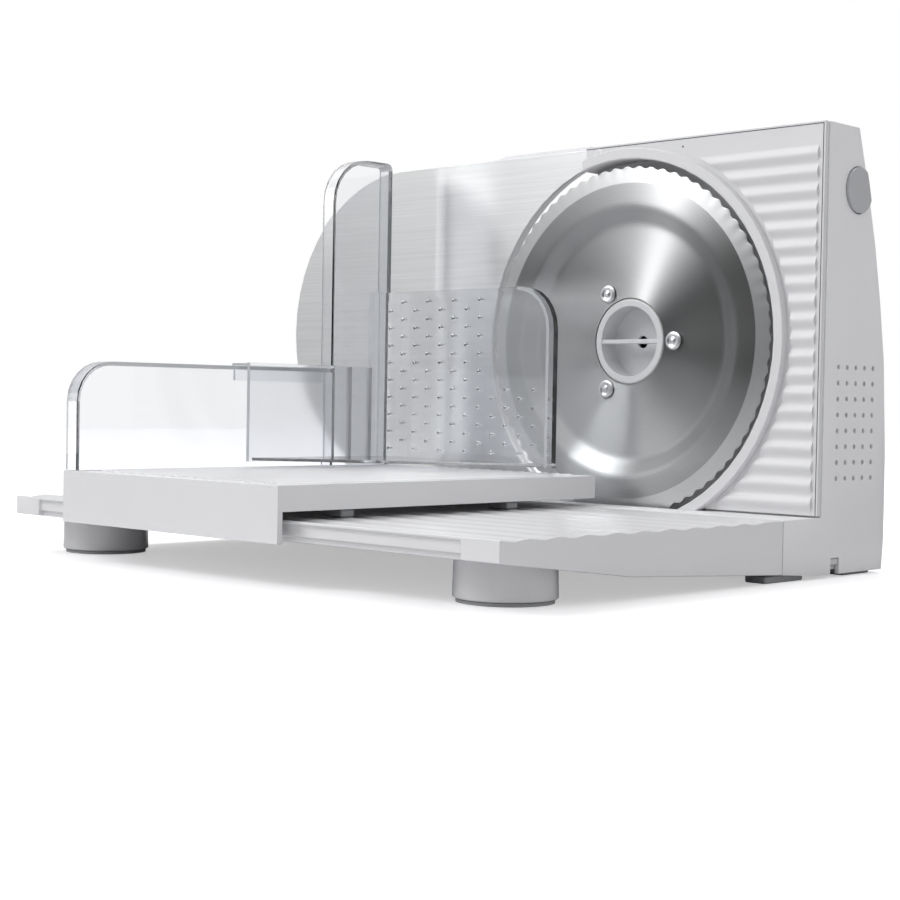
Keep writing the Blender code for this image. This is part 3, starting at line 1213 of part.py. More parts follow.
def make_remnant_holder():
    half = HOLDER_THICKNESS / 2
    outer_x = HOLDER_LEG_X - half
    inner_x = HOLDER_LEG_X + half
    outer_y = HOLDER_FACE_Y + half
    inner_y = HOLDER_FACE_Y - half
    outline = rounded([
        (outer_x, HOLDER_LEG_FRONT, 0), (outer_x, outer_y, HOLDER_PLAN_RADIUS),
        (HOLDER_RIGHT, outer_y, 0), (HOLDER_RIGHT, inner_y, 0),
        (inner_x, inner_y, HOLDER_PLAN_RADIUS - HOLDER_THICKNESS),
        (inner_x, HOLDER_LEG_FRONT, 0)])
    wall = plate("remnant_holder", "xy", [outline], (HOLDER_BOTTOM, HOLDER_HIGH_TOP))
    low_relief = box("low_relief", (outer_x - OVERRUN, inner_x + OVERRUN),
                     (HOLDER_LEG_FRONT - OVERRUN, HOLDER_STEP_Y),
                     (HOLDER_LOW_TOP, HOLDER_HIGH_TOP + OVERRUN))
    corner = (HOLDER_RIGHT - HOLDER_CORNER_RADIUS, HOLDER_HIGH_TOP - HOLDER_CORNER_RADIUS)
    over_x = HOLDER_RIGHT + OVERRUN
    over_z = HOLDER_HIGH_TOP + OVERRUN
    corner_relief = plate("corner_relief", "xz", [
        arc(corner, HOLDER_CORNER_RADIUS, 90, 0, CORNER_STEPS)
        + [(over_x, corner[1]), (over_x, over_z), (corner[0], over_z)]],
        (inner_y - OVERRUN, outer_y + OVERRUN))
    flange_outline = (
        arc(corner, HOLDER_CORNER_RADIUS - HOLDER_FLANGE, 0, 90, CORNER_STEPS)
        + [(corner[0], HOLDER_HIGH_TOP), (HOLDER_RIGHT, HOLDER_HIGH_TOP),
           (HOLDER_RIGHT, HOLDER_BOTTOM), (HOLDER_RIGHT - HOLDER_FLANGE, HOLDER_BOTTOM)])
    flange = plate("flange", "xz", [flange_outline],
                   (outer_y - HOLDER_FLANGE_DEPTH, inner_y + half))
    join(wall, flange)
    cut(wall, low_relief, corner_relief)
    plan_corner = (outer_x + HOLDER_PLAN_RADIUS, outer_y - HOLDER_PLAN_RADIUS)
    gusset = plate("gusset", "xy", [
        [(HOLDER_LEG_X, HOLDER_LEG_FRONT + half)]
        + arc(plan_corner, HOLDER_PLAN_RADIUS - half, 180, 90, CORNER_STEPS)
        + [(HOLDER_RIGHT - half, HOLDER_FACE_Y),
           (HOLDER_RIGHT - half, HOLDER_FACE_Y - HOLDER_FLANGE_DEPTH / 2)]],
        (HOLDER_BOTTOM + EDGE, HOLDER_BOTTOM + HOLDER_FLOOR))
    hook_bottom = GUARD_LOW_TOP + RUNNING_GAP
    lip_right = GUARD_FLANGE_LEFT - RUNNING_GAP
    lip_left = lip_right - HOLDER_LIP
    hook_top = HOLDER_LOW_TOP - EDGE / 2
    lip_bottom = HOLDER_LOW_TOP - HOLDER_HOOK_DROP
    hook = plate("hook", "xz", [[
        (lip_left, lip_bottom), (lip_right, lip_bottom), (lip_right, hook_bottom),
        (HOLDER_LEG_X, hook_bottom), (HOLDER_LEG_X, hook_top), (lip_left, hook_top)]],
        (HOLDER_LEG_FRONT + EDGE / 2, HOLDER_HOOK_BACK))
    grips = [box("grip", (HOLDER_LEG_X, inner_x + HOLDER_GRIP_PROUD),
                 (y - HOLDER_GRIP_WIDTH / 2, y + HOLDER_GRIP_WIDTH / 2),
                 (HOLDER_BOTTOM + HOLDER_FLOOR / 2, HOLDER_LOW_TOP - EDGE))
             for y in (HOLDER_GRIP_FRONT_Y, HOLDER_GRIP_BACK_Y)]
    join(wall, gusset, hook, gathered("grips", grips),
         holder_spikes(outer_y - EDGE))
    finish(wall, "holder_slide", CLEAR, 0.1)


# Stop plate, its carrier, the guides and the thickness dial

def stop_outline(inset):
    """The stop's outline: round at the left, open round the blade at the right."""
    top = STOP_TOP - inset
    bottom = STOP_BOTTOM + inset
    middle = (STOP_TOP + STOP_BOTTOM) / 2
    gap_radius = STOP_GAP_RADIUS + inset
    right = STOP_RIGHT - inset
    start = math.degrees(math.acos(right / gap_radius))
    end = 180 + math.degrees(math.asin((HUB_HEIGHT - bottom) / gap_radius))
    return ([(right, top)] + arc(HUB, gap_radius, start, end, 24)
            + arc((STOP_END_X, middle), middle - bottom, 270, 90, 24))


def make_stop_plate():
    stop = plate("stop_plate", "xz", [stop_outline(0)], (STOP_FRONT, STOP_BACK))
    finish(stop, "stop_slide", STEEL, 0.28, 1)


def make_stop_carrier():
    outline = stop_outline(CARRIER_INSET)
    right = outline[0][0]
    crest = [(CARRIER_SLOPE_X, STOP_TOP - CARRIER_INSET), (CARRIER_CREST_X, CARRIER_CREST_Z),
             (right, CARRIER_CREST_Z)]
    carrier = plate("stop_carrier", "xz", [crest + outline[1:]],
                    (CARRIER_FRONT, CARRIER_BACK))
    pocket = plate("pocket", "xz", [stop_outline(CARRIER_INSET + CARRIER_WALL)],
                   (CARRIER_FRONT - OVERRUN, CARRIER_BACK - CARRIER_WALL))
    cut(carrier, pocket)
    boss = rod("boss", "y", (DIAL_X, DIAL_Z),
               (CARRIER_BACK - CARRIER_WALL / 2, CARRIER_BACK + BOSS_LENGTH), BOSS_RADIUS,
               sides=24)
    bore = rod("bore", "y", (DIAL_X, DIAL_Z),
               (CARRIER_BACK, CARRIER_BACK + BOSS_LENGTH + OVERRUN),
               DIAL_SHAFT_RADIUS + RUNNING_GAP, sides=24)
    join(carrier, boss)
    cut(carrier, bore)
    finish(carrier, "stop_slide", WHITE, 0.35)


def guide_places():
    return (("left", (GUIDE_LEFT_X, GUIDE_Z)), ("right", (GUIDE_RIGHT_X, GUIDE_Z)))


def make_guides():
    for side, place in guide_places():
        start = CARRIER_BACK + SEAT_GAP
        guide = rod(f"guide_rod_{side}", "y", place, (start, start + GUIDE_ROD_LENGTH),
                    GUIDE_ROD_RADIUS, sides=16)
        finish(guide, "stop_slide", STEEL, 0.25, 1)
        inner = GUIDE_ROD_RADIUS + RUNNING_GAP
        outer = inner + GUIDE_BUSH_WALL
        front = BLOCK_FRONT - SEAT_GAP
        back = front + GUIDE_BUSH_LENGTH
        bush = turned(f"guide_bush_{side}", "y", place,
                      [(inner, back), (outer, back), (outer, front), (inner, front)],
                      steps=20, closed=True)
        finish(bush, "assembly", BRASS, 0.35, 1)


def make_guide_block():
    def front_view(inset, bottom):
        return rounded([
            (BLOCK_RIGHT - inset, bottom, 0),
            (BLOCK_RIGHT - inset, BLOCK_TOP - inset, BLOCK_CORNER_RADIUS - inset),
            (BLOCK_LEFT + inset, BLOCK_TOP - inset, BLOCK_CORNER_RADIUS - inset),
            (BLOCK_LEFT + inset, bottom, 0)])
    bottom = TABLE_TOP + SEAT_GAP
    block = plate("guide_block", "xz", [front_view(0, bottom)], (BLOCK_FRONT, BLOCK_BACK))
    hollow = plate("hollow", "xz", [front_view(WALL, bottom - OVERRUN)],
                   (BLOCK_FRONT + WALL, BLOCK_BACK - WALL))
    window = rod("window", "y", (DIAL_X, DIAL_Z),
                 (BLOCK_FRONT - OVERRUN, BLOCK_FRONT + WALL + OVERRUN),
                 BOSS_RADIUS + RUNNING_GAP)
    shaft_hole = rod("shaft_hole", "y", (DIAL_X, DIAL_Z),
                     (BLOCK_BACK - WALL - OVERRUN, BLOCK_BACK + OVERRUN),
                     DIAL_SHAFT_RADIUS + RUNNING_GAP, sides=24)
    bush_radius = GUIDE_ROD_RADIUS + RUNNING_GAP + GUIDE_BUSH_WALL + SEAT_GAP
    seats = [rod("seat", "y", place, (BLOCK_FRONT - OVERRUN, BLOCK_FRONT + WALL + OVERRUN),
                 bush_radius, sides=20)
             for side, place in guide_places()]
    cut(block, hollow, window, shaft_hole, gathered("seats", seats))
    finish(block, "assembly", WHITE, 0.35)


def make_thickness_dial():
    front = BLOCK_BACK + SEAT_GAP
    back = front + DIAL_DEPTH
    profile = [(0, back), (DIAL_RADIUS - 2 * EDGE, back), (DIAL_RADIUS - EDGE, back - EDGE),
               (DIAL_RADIUS, front + EDGE), (DIAL_RADIUS - EDGE, front), (0, front)]
    dial = turned("thickness_dial", "y", (DIAL_X, DIAL_Z), profile, steps=36)
    half = DIAL_GRIP_WIDTH / 2
    face = (back - DIAL_GRIP_DEPTH, back + OVERRUN)
    reach = DIAL_RADIUS + OVERRUN
    sides = [box("side", span, face, (DIAL_Z - reach, DIAL_Z + reach))
             for span in ((DIAL_X - reach, DIAL_X - half), (DIAL_X + half, DIAL_X + reach))]
    rim = rod("rim", "y", (DIAL_X, DIAL_Z), face, DIAL_RADIUS - 4 * EDGE, sides=24)
    face_recess = gathered("face_recess", sides)
    keep(face_recess, rim)
    shaft = rod("shaft", "y", (DIAL_X, DIAL_Z),
                (front - DIAL_SHAFT_LENGTH, front + DIAL_GRIP_DEPTH), DIAL_SHAFT_RADIUS,
                sides=24)
    cut(dial, face_recess)
    join(dial, shaft)
    finish(dial, "dial_turn", PALE_GREY, 0.4)


# The whole: one empty for the object, and one on each joint's axis

def whole_centre():
    """Middle of the object's width and depth."""
    left = STOP_END_X - (STOP_TOP - STOP_BOTTOM) / 2
    right = HOUSING_RIGHT + BUTTON_PROUD
    back = max(HOUSING_BACK, BLOCK_BACK + SEAT_GAP + DIAL_DEPTH)
    return ((left + right) / 2, (CARRIAGE_FRONT + back) / 2)


def main():
    assembly = empty_at("assembly", (0, 0, 0))
    joints = {
        "blade_spin": (0, 0, HUB_HEIGHT),
        "lock_turn": (0, 0, HUB_HEIGHT),
        "pinion_spin": (PINION_X, 0, HUB_HEIGHT),
        "rotor_spin": (PINION_X, ROTOR_Y, ROTOR_Z),
        "button_slide": (HOUSING_RIGHT, BUTTON_Y, BUTTON_Z),
        "carriage_slide": (CARRIAGE_LEFT, TABLE_FRONT, TABLE_TOP),
        "holder_slide": (HOLDER_LEG_X, HOLDER_LEG_FRONT, HOLDER_BOTTOM),
        "stop_slide": (STOP_END_X, STOP_FRONT, STOP_BOTTOM),
        "dial_turn": (DIAL_X, BLOCK_BACK, DIAL_Z),
    }
    for name, place in joints.items():
        empty_at(name, place)
    for build in (
            make_rear_cover, make_housing_frame, make_floor_plate, make_feet,
            make_cord_gland, make_cover_screws, make_ribbed_cover, make_power_button,
            make_switch_body, make_blade, make_blade_gear, make_rivets, make_lock_knob,
            make_spindle_bush, make_drive_pinion, make_worm_wheel, make_worm_shaft,
            make_motor_can, make_motor_bracket, make_worm_bearing, make_base_table,
            make_legs, make_carriage, make_glide_pads, make_thumb_guard,
            make_remnant_holder, make_stop_plate, make_stop_carrier, make_guides,
            make_guide_block, make_thickness_dial):
        build()
    for name, carrier in empties.items():
        if carrier is not assembly:
            carrier.parent = assembly
    for tool in cutters.objects:
        tool.parent = assembly
    middle_x, middle_y = whole_centre()
    assembly.location = (-middle_x, -middle_y, 0)


main()
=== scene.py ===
# %% [markdown]
# # An electric food slicer, dressed for its photograph
#
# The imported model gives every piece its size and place. This lesson gives the
# pieces their finishes, replaces a few of them by finer shapes, and sets up the
# floor, the light and the camera. Everything is in metres, Z is up, and the
# object stands on Z = 0. X runs right along the housing, Y from the user back.

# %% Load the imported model
import math

import bmesh
import bpy
from mathutils import Matrix, Vector


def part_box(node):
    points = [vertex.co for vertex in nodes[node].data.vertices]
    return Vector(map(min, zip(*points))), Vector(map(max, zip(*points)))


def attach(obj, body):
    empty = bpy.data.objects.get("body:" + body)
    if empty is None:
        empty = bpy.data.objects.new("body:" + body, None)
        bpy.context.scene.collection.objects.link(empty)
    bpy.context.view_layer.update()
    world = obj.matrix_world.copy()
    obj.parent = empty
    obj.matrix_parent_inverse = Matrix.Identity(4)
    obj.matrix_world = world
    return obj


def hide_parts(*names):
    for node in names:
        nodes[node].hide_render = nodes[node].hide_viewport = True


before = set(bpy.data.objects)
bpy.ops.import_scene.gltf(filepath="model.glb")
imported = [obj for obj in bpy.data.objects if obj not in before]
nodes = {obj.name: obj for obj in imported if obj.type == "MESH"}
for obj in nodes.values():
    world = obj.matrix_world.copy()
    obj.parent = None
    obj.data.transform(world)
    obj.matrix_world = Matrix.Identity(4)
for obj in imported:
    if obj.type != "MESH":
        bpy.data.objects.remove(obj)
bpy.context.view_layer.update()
MM = 0.001

# %% [markdown]
# ## The axis of the blade
#
# On the real machine the blade's spindle is what all else is set out from. Here
# too, most pieces are drawn round that axis or measured from it. The places could
# be typed in, but then they would be wrong as soon as the model changes, so they
# are read from the boxes of the model's own pieces.

# %% Read the places that the pieces share
PANEL_BEHIND_BLADE_MM = 0.9

blade_low, blade_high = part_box("blade")
HUB = Vector(((blade_low.x + blade_high.x) / 2, 0, (blade_low.z + blade_high.z) / 2))
BLADE_RADIUS_MM = (blade_high.x - blade_low.x) / 2 / MM
panel_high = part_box("ribbed_cover")[1]
housing_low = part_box("rear_cover")[0]
table_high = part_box("base_table")[1]
panel_front = blade_low.y + PANEL_BEHIND_BLADE_MM * MM
print("hub", tuple(round(value / MM, 2) for value in HUB),
      "blade radius", round(BLADE_RADIUS_MM, 2), "mm")

# %% [markdown]
# ## Camera
#
# The camera stands low in front and to the right, a little above the table, and
# looks along the long carriage. It could be set by eye. Here its place and lens
# were solved from the blade's rim and the straight edges, so that the picture's
# lines fall on the photograph's. It is turned by its own three axes, because a
# dip and a roll are then plain angles.

# %% Camera
CAMERA_PLACE = Vector((661.15, -649.0, 85.7)) * MM
CAMERA_TURN = math.radians(44.14)
CAMERA_DIP = math.radians(1.64)
CAMERA_ROLL = math.radians(0.98)
LENS_MM = 68.5
SENSOR_MM = 36


def camera_axes():
    """Right, up and backward of the camera, after its roll."""
    forward = Vector((-math.sin(CAMERA_TURN) * math.cos(CAMERA_DIP),
                      math.cos(CAMERA_TURN) * math.cos(CAMERA_DIP),
                      -math.sin(CAMERA_DIP)))
    level = Vector((math.cos(CAMERA_TURN), math.sin(CAMERA_TURN), 0))
    upright = level.cross(forward)
    right = math.cos(CAMERA_ROLL) * level + math.sin(CAMERA_ROLL) * upright
    up = math.cos(CAMERA_ROLL) * upright - math.sin(CAMERA_ROLL) * level
    return right, up, -forward


camera_data = bpy.data.cameras.new("camera")
camera_data.lens = LENS_MM
camera_data.sensor_width = SENSOR_MM
camera = bpy.data.objects.new("camera", camera_data)
bpy.context.scene.collection.objects.link(camera)
camera.matrix_world = (Matrix.Translation(CAMERA_PLACE)
                       @ Matrix(camera_axes()).transposed().to_4x4())
bpy.context.scene.camera = camera
print("camera at", tuple(camera.matrix_world.translation))

# %% [markdown]
# ## A few small tools for materials
#
# A material is a small net of nodes, and building one by hand takes three lines
# for each node. One function adds a node with its settings and links, so that
# each material reads as a short list. Colours are written as they look on a
# screen, in sRGB hex, and another function turns them to the linear values that
# Blender wants.


# %% Colour and node helpers
def linear(hex_colour):
    """An sRGB hex colour as the linear RGBA that a shader takes."""
    channels = []
    for start in (0, 2, 4):
        value = int(hex_colour[start:start + 2], 16) / 255
        channels.append(value / 12.92 if value <= 0.04045
                        else ((value + 0.055) / 1.055) ** 2.4)
    return (*channels, 1)


def add_node(tree, kind, inputs=None, **settings):
    """Adds a node: settings are its properties, inputs are values or linked sockets."""
    node = tree.nodes.new(kind)
    for name, value in settings.items():
        setattr(node, name, value)
    for name, value in (inputs or {}).items():
        if isinstance(value, bpy.types.NodeSocket):
            tree.links.new(value, node.inputs[name])
        else:
            node.inputs[name].default_value = value
    return node


def new_material(name, **values):
    """A material whose Principled shader has the given values, with its node tree."""
    material = bpy.data.materials.new(name)
    material.use_nodes = True
    tree = material.node_tree
    shader = tree.nodes["Principled BSDF"]
    for key, value in values.items():
        shader.inputs[key.replace("_", " ")].default_value = value
    return material, tree, shader


print("white is", linear("FFFFFF"), "mid grey is", linear("808080"))

# %% [markdown]
# ## ABS, injection moulded with a fine satin grain
#
# The housing, the table and the carriage are moulded from ABS in a steel mould
# with a spark-eroded grain. To the eye this is a soft, even sheen with no clear
# reflection. One plain colour with one roughness would do, but it looks like a
# drawing: a real moulding changes its tone a little over some centimetres, and
# its gloss with it. So one cloudy pattern drives both, and a second one presses
# the grain in. The grain of such a mould is about 0.1 mm, too fine to show from
# here, so it is drawn at 0.45 mm and kept very shallow.

# %% One pattern for tone and gloss
# A Mix node has sockets for every kind of value. These are the colours' places.
MIX_DARKER, MIX_COLOUR, MIX_RESULT = 6, 7, 2


def tone_and_gloss(tree, shader, pattern, darker, colour, smoothest, roughest):
    """Lets a pattern drive the colour of a finish and, with it, the roughness."""
    tone = add_node(tree, "ShaderNodeMix", {
        "Factor": pattern, MIX_DARKER: linear(darker), MIX_COLOUR: linear(colour)},
        data_type="RGBA")
    tree.links.new(tone.outputs[MIX_RESULT], shader.inputs["Base Color"])
    gloss = add_node(tree, "ShaderNodeMapRange", {
        "Value": pattern, "To Min": smoothest, "To Max": roughest})
    tree.links.new(gloss.outputs["Result"], shader.inputs["Roughness"])


print("tones go from the darker colour to the lighter one")

# %% The grain of a mould
GRAIN_MM = 0.45
GRAIN_DEPTH_MM = 0.02


def press_grain(tree, shader, strength):
    """Presses the mould's grain into a surface, sized in millimetres."""
    place = add_node(tree, "ShaderNodeTexCoord")
    grain = add_node(tree, "ShaderNodeTexNoise", {
        "Vector": place.outputs["Object"], "Scale": 1 / (GRAIN_MM * MM),
        "Detail": 2.0, "Roughness": 0.6})
    bump = add_node(tree, "ShaderNodeBump", {
        "Height": grain.outputs["Fac"], "Strength": strength,
        "Distance": GRAIN_DEPTH_MM * MM})
    tree.links.new(bump.outputs["Normal"], shader.inputs["Normal"])


print("ABS grain drawn at", GRAIN_MM, "mm")

# %% Moulded ABS
CLOUD_MM = 60
ABS_IOR = 1.53
ABS_GLOSS_SPREAD = 0.03


def moulded_abs(name, colour, darker, roughness, grain_strength=0.25):
    """Satin ABS: a grain, and a faint change of tone over some centimetres."""
    material, tree, shader = new_material(name, IOR=ABS_IOR)
    place = add_node(tree, "ShaderNodeTexCoord")
    cloud = add_node(tree, "ShaderNodeTexNoise", {
        "Vector": place.outputs["Object"], "Scale": 1 / (CLOUD_MM * MM), "Detail": 3.0})
    tone_and_gloss(tree, shader, cloud.outputs["Fac"], darker, colour,
                   roughness - ABS_GLOSS_SPREAD, roughness + ABS_GLOSS_SPREAD)
    press_grain(tree, shader, grain_strength)
    return material


housing_abs = moulded_abs("housing_abs_white", "EEEEF0", "EAEAEC", 0.32)
cover_abs = moulded_abs("cover_abs_white", "DEDEE0", "DADADC", 0.4)
button_abs = moulded_abs("button_abs_grey", "B9BABD", "B2B3B6", 0.14,
                         grain_strength=0.05)
table_abs = moulded_abs("table_abs_white", "E8E8EA", "E3E3E5", 0.24,
                        grain_strength=0.12)
knob_abs = moulded_abs("knob_abs_grey", "D6D7D9", "CFD0D2", 0.38)
print("ABS finishes", [finish.name for finish in (housing_abs, cover_abs, button_abs,
                                                  table_abs, knob_abs)])

# %% [markdown]
# ## Brushed aluminium sheet
#
# The stop plate is an aluminium sheet brushed along its length on a belt, then
# clear anodised. Hundreds of fine scratches run one way, so a reflection is
# sharp across them and smeared along them. The scratches could be cut into the
# mesh or drawn by bump alone, but they are too fine for either. The shader's
# anisotropy smears the reflection, along a tangent that stands across the
# brushing, and a stretched noise adds the lines that one still sees. Those of a
# 180 grit belt are about 0.08 mm apart; here they are 1 mm apart, so that they
# show.

# %% Brushed aluminium
SCRATCH_PITCH_MM = 1.0
SCRATCH_LENGTH_MM = 90
SCRATCH_DEPTH_MM = 0.02


def brushed_aluminium(name, colour, darker, smoothest, roughest):
    """Aluminium with scratches along X."""
    material, tree, shader = new_material(name, Metallic=1.0, Anisotropic=0.95)
    place = add_node(tree, "ShaderNodeTexCoord")
    lengths_mm = (SCRATCH_LENGTH_MM, SCRATCH_PITCH_MM, SCRATCH_PITCH_MM)
    stretched = add_node(tree, "ShaderNodeVectorMath", {
        0: place.outputs["Object"], 1: [1 / (length * MM) for length in lengths_mm]},
        operation="MULTIPLY")
    lines = add_node(tree, "ShaderNodeTexNoise", {
        "Vector": stretched.outputs["Vector"], "Scale": 1.0, "Detail": 4.0,
        "Roughness": 0.7})
    tone_and_gloss(tree, shader, lines.outputs["Fac"], darker, colour,
                   smoothest, roughest)
    bump = add_node(tree, "ShaderNodeBump", {
        "Height": lines.outputs["Fac"], "Strength": 0.15,
        "Distance": SCRATCH_DEPTH_MM * MM})
    tree.links.new(bump.outputs["Normal"], shader.inputs["Normal"])
    across = add_node(tree, "ShaderNodeCombineXYZ", {"Z": 1.0})
    tree.links.new(across.outputs["Vector"], shader.inputs["Tangent"])
    return material


aluminium = brushed_aluminium("stop_plate_brushed_aluminium", "E0E1E2", "BEBFC0",
                              smoothest=0.24, roughest=0.36)
print("scratches", SCRATCH_PITCH_MM, "mm apart and", SCRATCH_LENGTH_MM, "mm long")

# %% [markdown]
# ## Stainless steel, turned and brushed round its axis
#
# The blade is stamped from stainless steel and finished on a spindle, so its
# scratches run in circles. Light then smears across the circles, into bright
# and dark fans that meet in the centre. Painted fans would stay on the blade
# when it turns. So the tangent points away from the hub, is worked out from each
# point's own place, and is turned with the blade: the fans stay where the light
# is. The circles are noise over the distance from the hub. Real ones are about
# 0.1 mm apart; here they are 0.4 mm apart, so that they show.

# %% Turned stainless steel
RING_PITCH_MM = 0.4
STEEL_GLOSS_SPREAD = 0.06


def turned_steel(name, colour, darker, roughness, anisotropy):
    """Steel with scratches in circles round the blade's axis."""
    material, tree, shader = new_material(name, Metallic=1.0, Anisotropic=anisotropy)
    place = add_node(tree, "ShaderNodeTexCoord")
    from_hub = add_node(tree, "ShaderNodeVectorMath", {
        0: place.outputs["Object"], 1: HUB}, operation="SUBTRACT")
    flat = add_node(tree, "ShaderNodeVectorMath", {
        0: from_hub.outputs["Vector"], 1: (1, 0, 1)}, operation="MULTIPLY")
    radius = add_node(tree, "ShaderNodeVectorMath", {0: flat.outputs["Vector"]},
                      operation="LENGTH")
    ring_number = add_node(tree, "ShaderNodeMath", {
        0: radius.outputs["Value"], 1: 1 / (RING_PITCH_MM * MM)}, operation="MULTIPLY")
    rings = add_node(tree, "ShaderNodeTexNoise", {
        "W": ring_number.outputs["Value"], "Scale": 1.0, "Detail": 5.0,
        "Roughness": 0.7}, noise_dimensions="1D")
    tone_and_gloss(tree, shader, rings.outputs["Fac"], darker, colour,
                   roughness - STEEL_GLOSS_SPREAD, roughness + STEEL_GLOSS_SPREAD)
    outward = add_node(tree, "ShaderNodeVectorMath", {0: flat.outputs["Vector"]},
                       operation="NORMALIZE")
    tangent = add_node(tree, "ShaderNodeVectorTransform", {
        "Vector": outward.outputs["Vector"]},
        vector_type="VECTOR", convert_from="OBJECT", convert_to="WORLD")
    tree.links.new(tangent.outputs["Vector"], shader.inputs["Tangent"])
    bump = add_node(tree, "ShaderNodeBump", {
        "Height": rings.outputs["Fac"], "Strength": 0.2,
        "Distance": SCRATCH_DEPTH_MM * MM})
    tree.links.new(bump.outputs["Normal"], shader.inputs["Normal"])
    return material


blade_steel = turned_steel("blade_turned_stainless", "BABBBC", "929394",
                           roughness=0.33, anisotropy=1.0)
print("rings", RING_PITCH_MM, "mm apart round", tuple(round(value, 4) for value in HUB))

# %% [markdown]
# ## Clear SAN plastic
#
# The thumb guard and the remnant holder are moulded from clear SAN, a stiff
# styrene plastic. Its surface is polished by the mould, so it is smooth, and its
# index of 1.57 gives bright edges. A fully refracting material alone would throw
# the shadow of a solid block. So for shadow rays the material is see-through with
# a light grey tint, and the shadow stays pale.

# %% Clear plastic
SAN_IOR = 1.57


def clear_plastic(name, tint, shadow_tint, roughness):
    """Clear plastic that lets the lamps through."""
    material, tree, shader = new_material(
        name, IOR=SAN_IOR, Roughness=roughness, Transmission_Weight=1.0,
        Base_Color=linear(tint))
    path = add_node(tree, "ShaderNodeLightPath")
    passing = add_node(tree, "ShaderNodeBsdfTransparent", {"Color": linear(shadow_tint)})
    both = add_node(tree, "ShaderNodeMixShader", {
        0: path.outputs["Is Shadow Ray"], 1: shader.outputs["BSDF"],
        2: passing.outputs["BSDF"]})
    tree.links.new(both.outputs["Shader"],
                   tree.nodes["Material Output"].inputs["Surface"])
    return material


guard_plastic = clear_plastic("clear_san_guard", "F7F8FA", "E4E5E8", 0.03)
holder_plastic = clear_plastic("clear_san_holder", "F4F5F7", "E0E1E4", 0.12)
print("clear plastic with an index of", SAN_IOR)

# %% [markdown]
# ## The edges and feet of the clear plastic
#
# Light that enters a clear wall runs inside it and comes out at the narrow faces,
# so the rim of a real guard looks like a solid grey line, and its foot, which
# stands on the carriage, like a darker one. Refraction alone could give this, but
# only with far more light paths than a render follows. So that light is painted
# on these faces: the rim gets a painted satin grey, which covers four fifths, and
# the foot a darker, closed grey of painted shade.

# %% Painted light on the rims and painted shade on the feet of the clear plastic
EDGE_COVER = 0.8
EDGE_ROUGHNESS = 0.2
# The rim's grey is painted light: it stands in for the light that runs inside the wall.
rim_painted_light, edge_tree, edge_shader = new_material(
    "clear_san_rim_painted_light", IOR=SAN_IOR, Roughness=EDGE_ROUGHNESS, Base_Color=linear("C2C4C8"))
edge_open = add_node(edge_tree, "ShaderNodeBsdfTransparent")
edge_both = add_node(edge_tree, "ShaderNodeMixShader", {
    0: EDGE_COVER, 1: edge_open.outputs["BSDF"], 2: edge_shader.outputs["BSDF"]})
edge_tree.links.new(edge_both.outputs["Shader"],
                    edge_tree.nodes["Material Output"].inputs["Surface"])
# The foot's darker grey is painted shade.
foot_painted_shade = new_material(
    "clear_san_foot_painted_shade", IOR=SAN_IOR, Roughness=EDGE_ROUGHNESS,
    Base_Color=linear("8A8C90"))[0]
print("edges cover", EDGE_COVER, "of what is behind them")

# %% [markdown]
# ## The small finishes: rubber, nylon, acetal, brass, zinc plate and rivet steel
#
# The feet are soft rubber, the glide pads and the switch are nylon, the gears
# are acetal, the bushes brass, and screws, rods and motor are zinc plated. To
# the eye the rubber is almost dull, nylon and acetal have a soft sheen, and the
# metals a blurred shine. These pieces are small or hidden, so each could do with
# one flat colour. A mottle in tone and gloss costs no more and keeps them from
# looking like paper. On real ones it is some tenths of a millimetre wide; here
# it is drawn at 2 mm, so that it shows.

# %% Small finishes
MOTTLE_MM = 2
MOTTLE_GLOSS_SPREAD = 0.05
SMALL_GRAIN_STRENGTH = 0.15


def mottled(name, colour, darker, roughness, metallic=0.0):
    """A finish with a fine mottled tone, for small pieces."""
    material, tree, shader = new_material(name, Metallic=metallic)
    place = add_node(tree, "ShaderNodeTexCoord")
    mottle = add_node(tree, "ShaderNodeTexNoise", {
        "Vector": place.outputs["Object"], "Scale": 1 / (MOTTLE_MM * MM), "Detail": 4.0})
    tone_and_gloss(tree, shader, mottle.outputs["Fac"], darker, colour,
                   roughness - MOTTLE_GLOSS_SPREAD, roughness + MOTTLE_GLOSS_SPREAD)
    press_grain(tree, shader, SMALL_GRAIN_STRENGTH)
    return material


grey_rubber = mottled("foot_grey_rubber", "A6A7AA", "9A9B9E", 0.8)
pad_rubber = mottled("leg_pad_pale_rubber", "B4B5B8", "A8A9AC", 0.7)
# The glide pads' grey is painted shade: they are drawn darker than their nylon, so that
# they sink into the shade of the gap under the carriage.
pad_nylon_painted_shade = mottled("glide_pad_nylon_painted_shade", "8E8F92", "828386", 0.5)
switch_black = mottled("switch_black_nylon", "313134", "28282A", 0.55)
gear_acetal = mottled("gear_white_acetal", "E2E2DE", "D8D8D4", 0.45)
zinc_steel = mottled("zinc_plated_steel", "B9BBBE", "A9ABAE", 0.32, metallic=1.0)
rivet_steel = mottled("polished_rivet_steel", "DADBDD", "CECFD1", 0.34, metallic=1.0)
bush_brass = mottled("bush_brass", "C9A45C", "B8924A", 0.35, metallic=1.0)
print("materials so far", len(bpy.data.materials))

# %% [markdown]
# ## Rounder edges on the moulded and pressed pieces
#
# No real edge is knife sharp: a mould leaves a radius of half a millimetre or
# so, and that radius catches the light. The model's nodes keep their own mesh,
# so the radius comes from modifiers: points that lie on each other are joined,
# flat faces are merged, the edges get a bevel, and the normals follow the large
# faces, so that flat stays flat.

# %% A bevel for a node of the model
WELD_MM = 0.005
MERGE_BELOW_DEGREES = 0.4
BEVEL_ABOVE_DEGREES = 30
LARGE_FACE_WEIGHT = 90


def add_weld(obj):
    """Joins the points of neighbouring faces, so that a bevel can see an edge."""
    weld = obj.modifiers.new("weld", "WELD")
    weld.merge_threshold = WELD_MM * MM


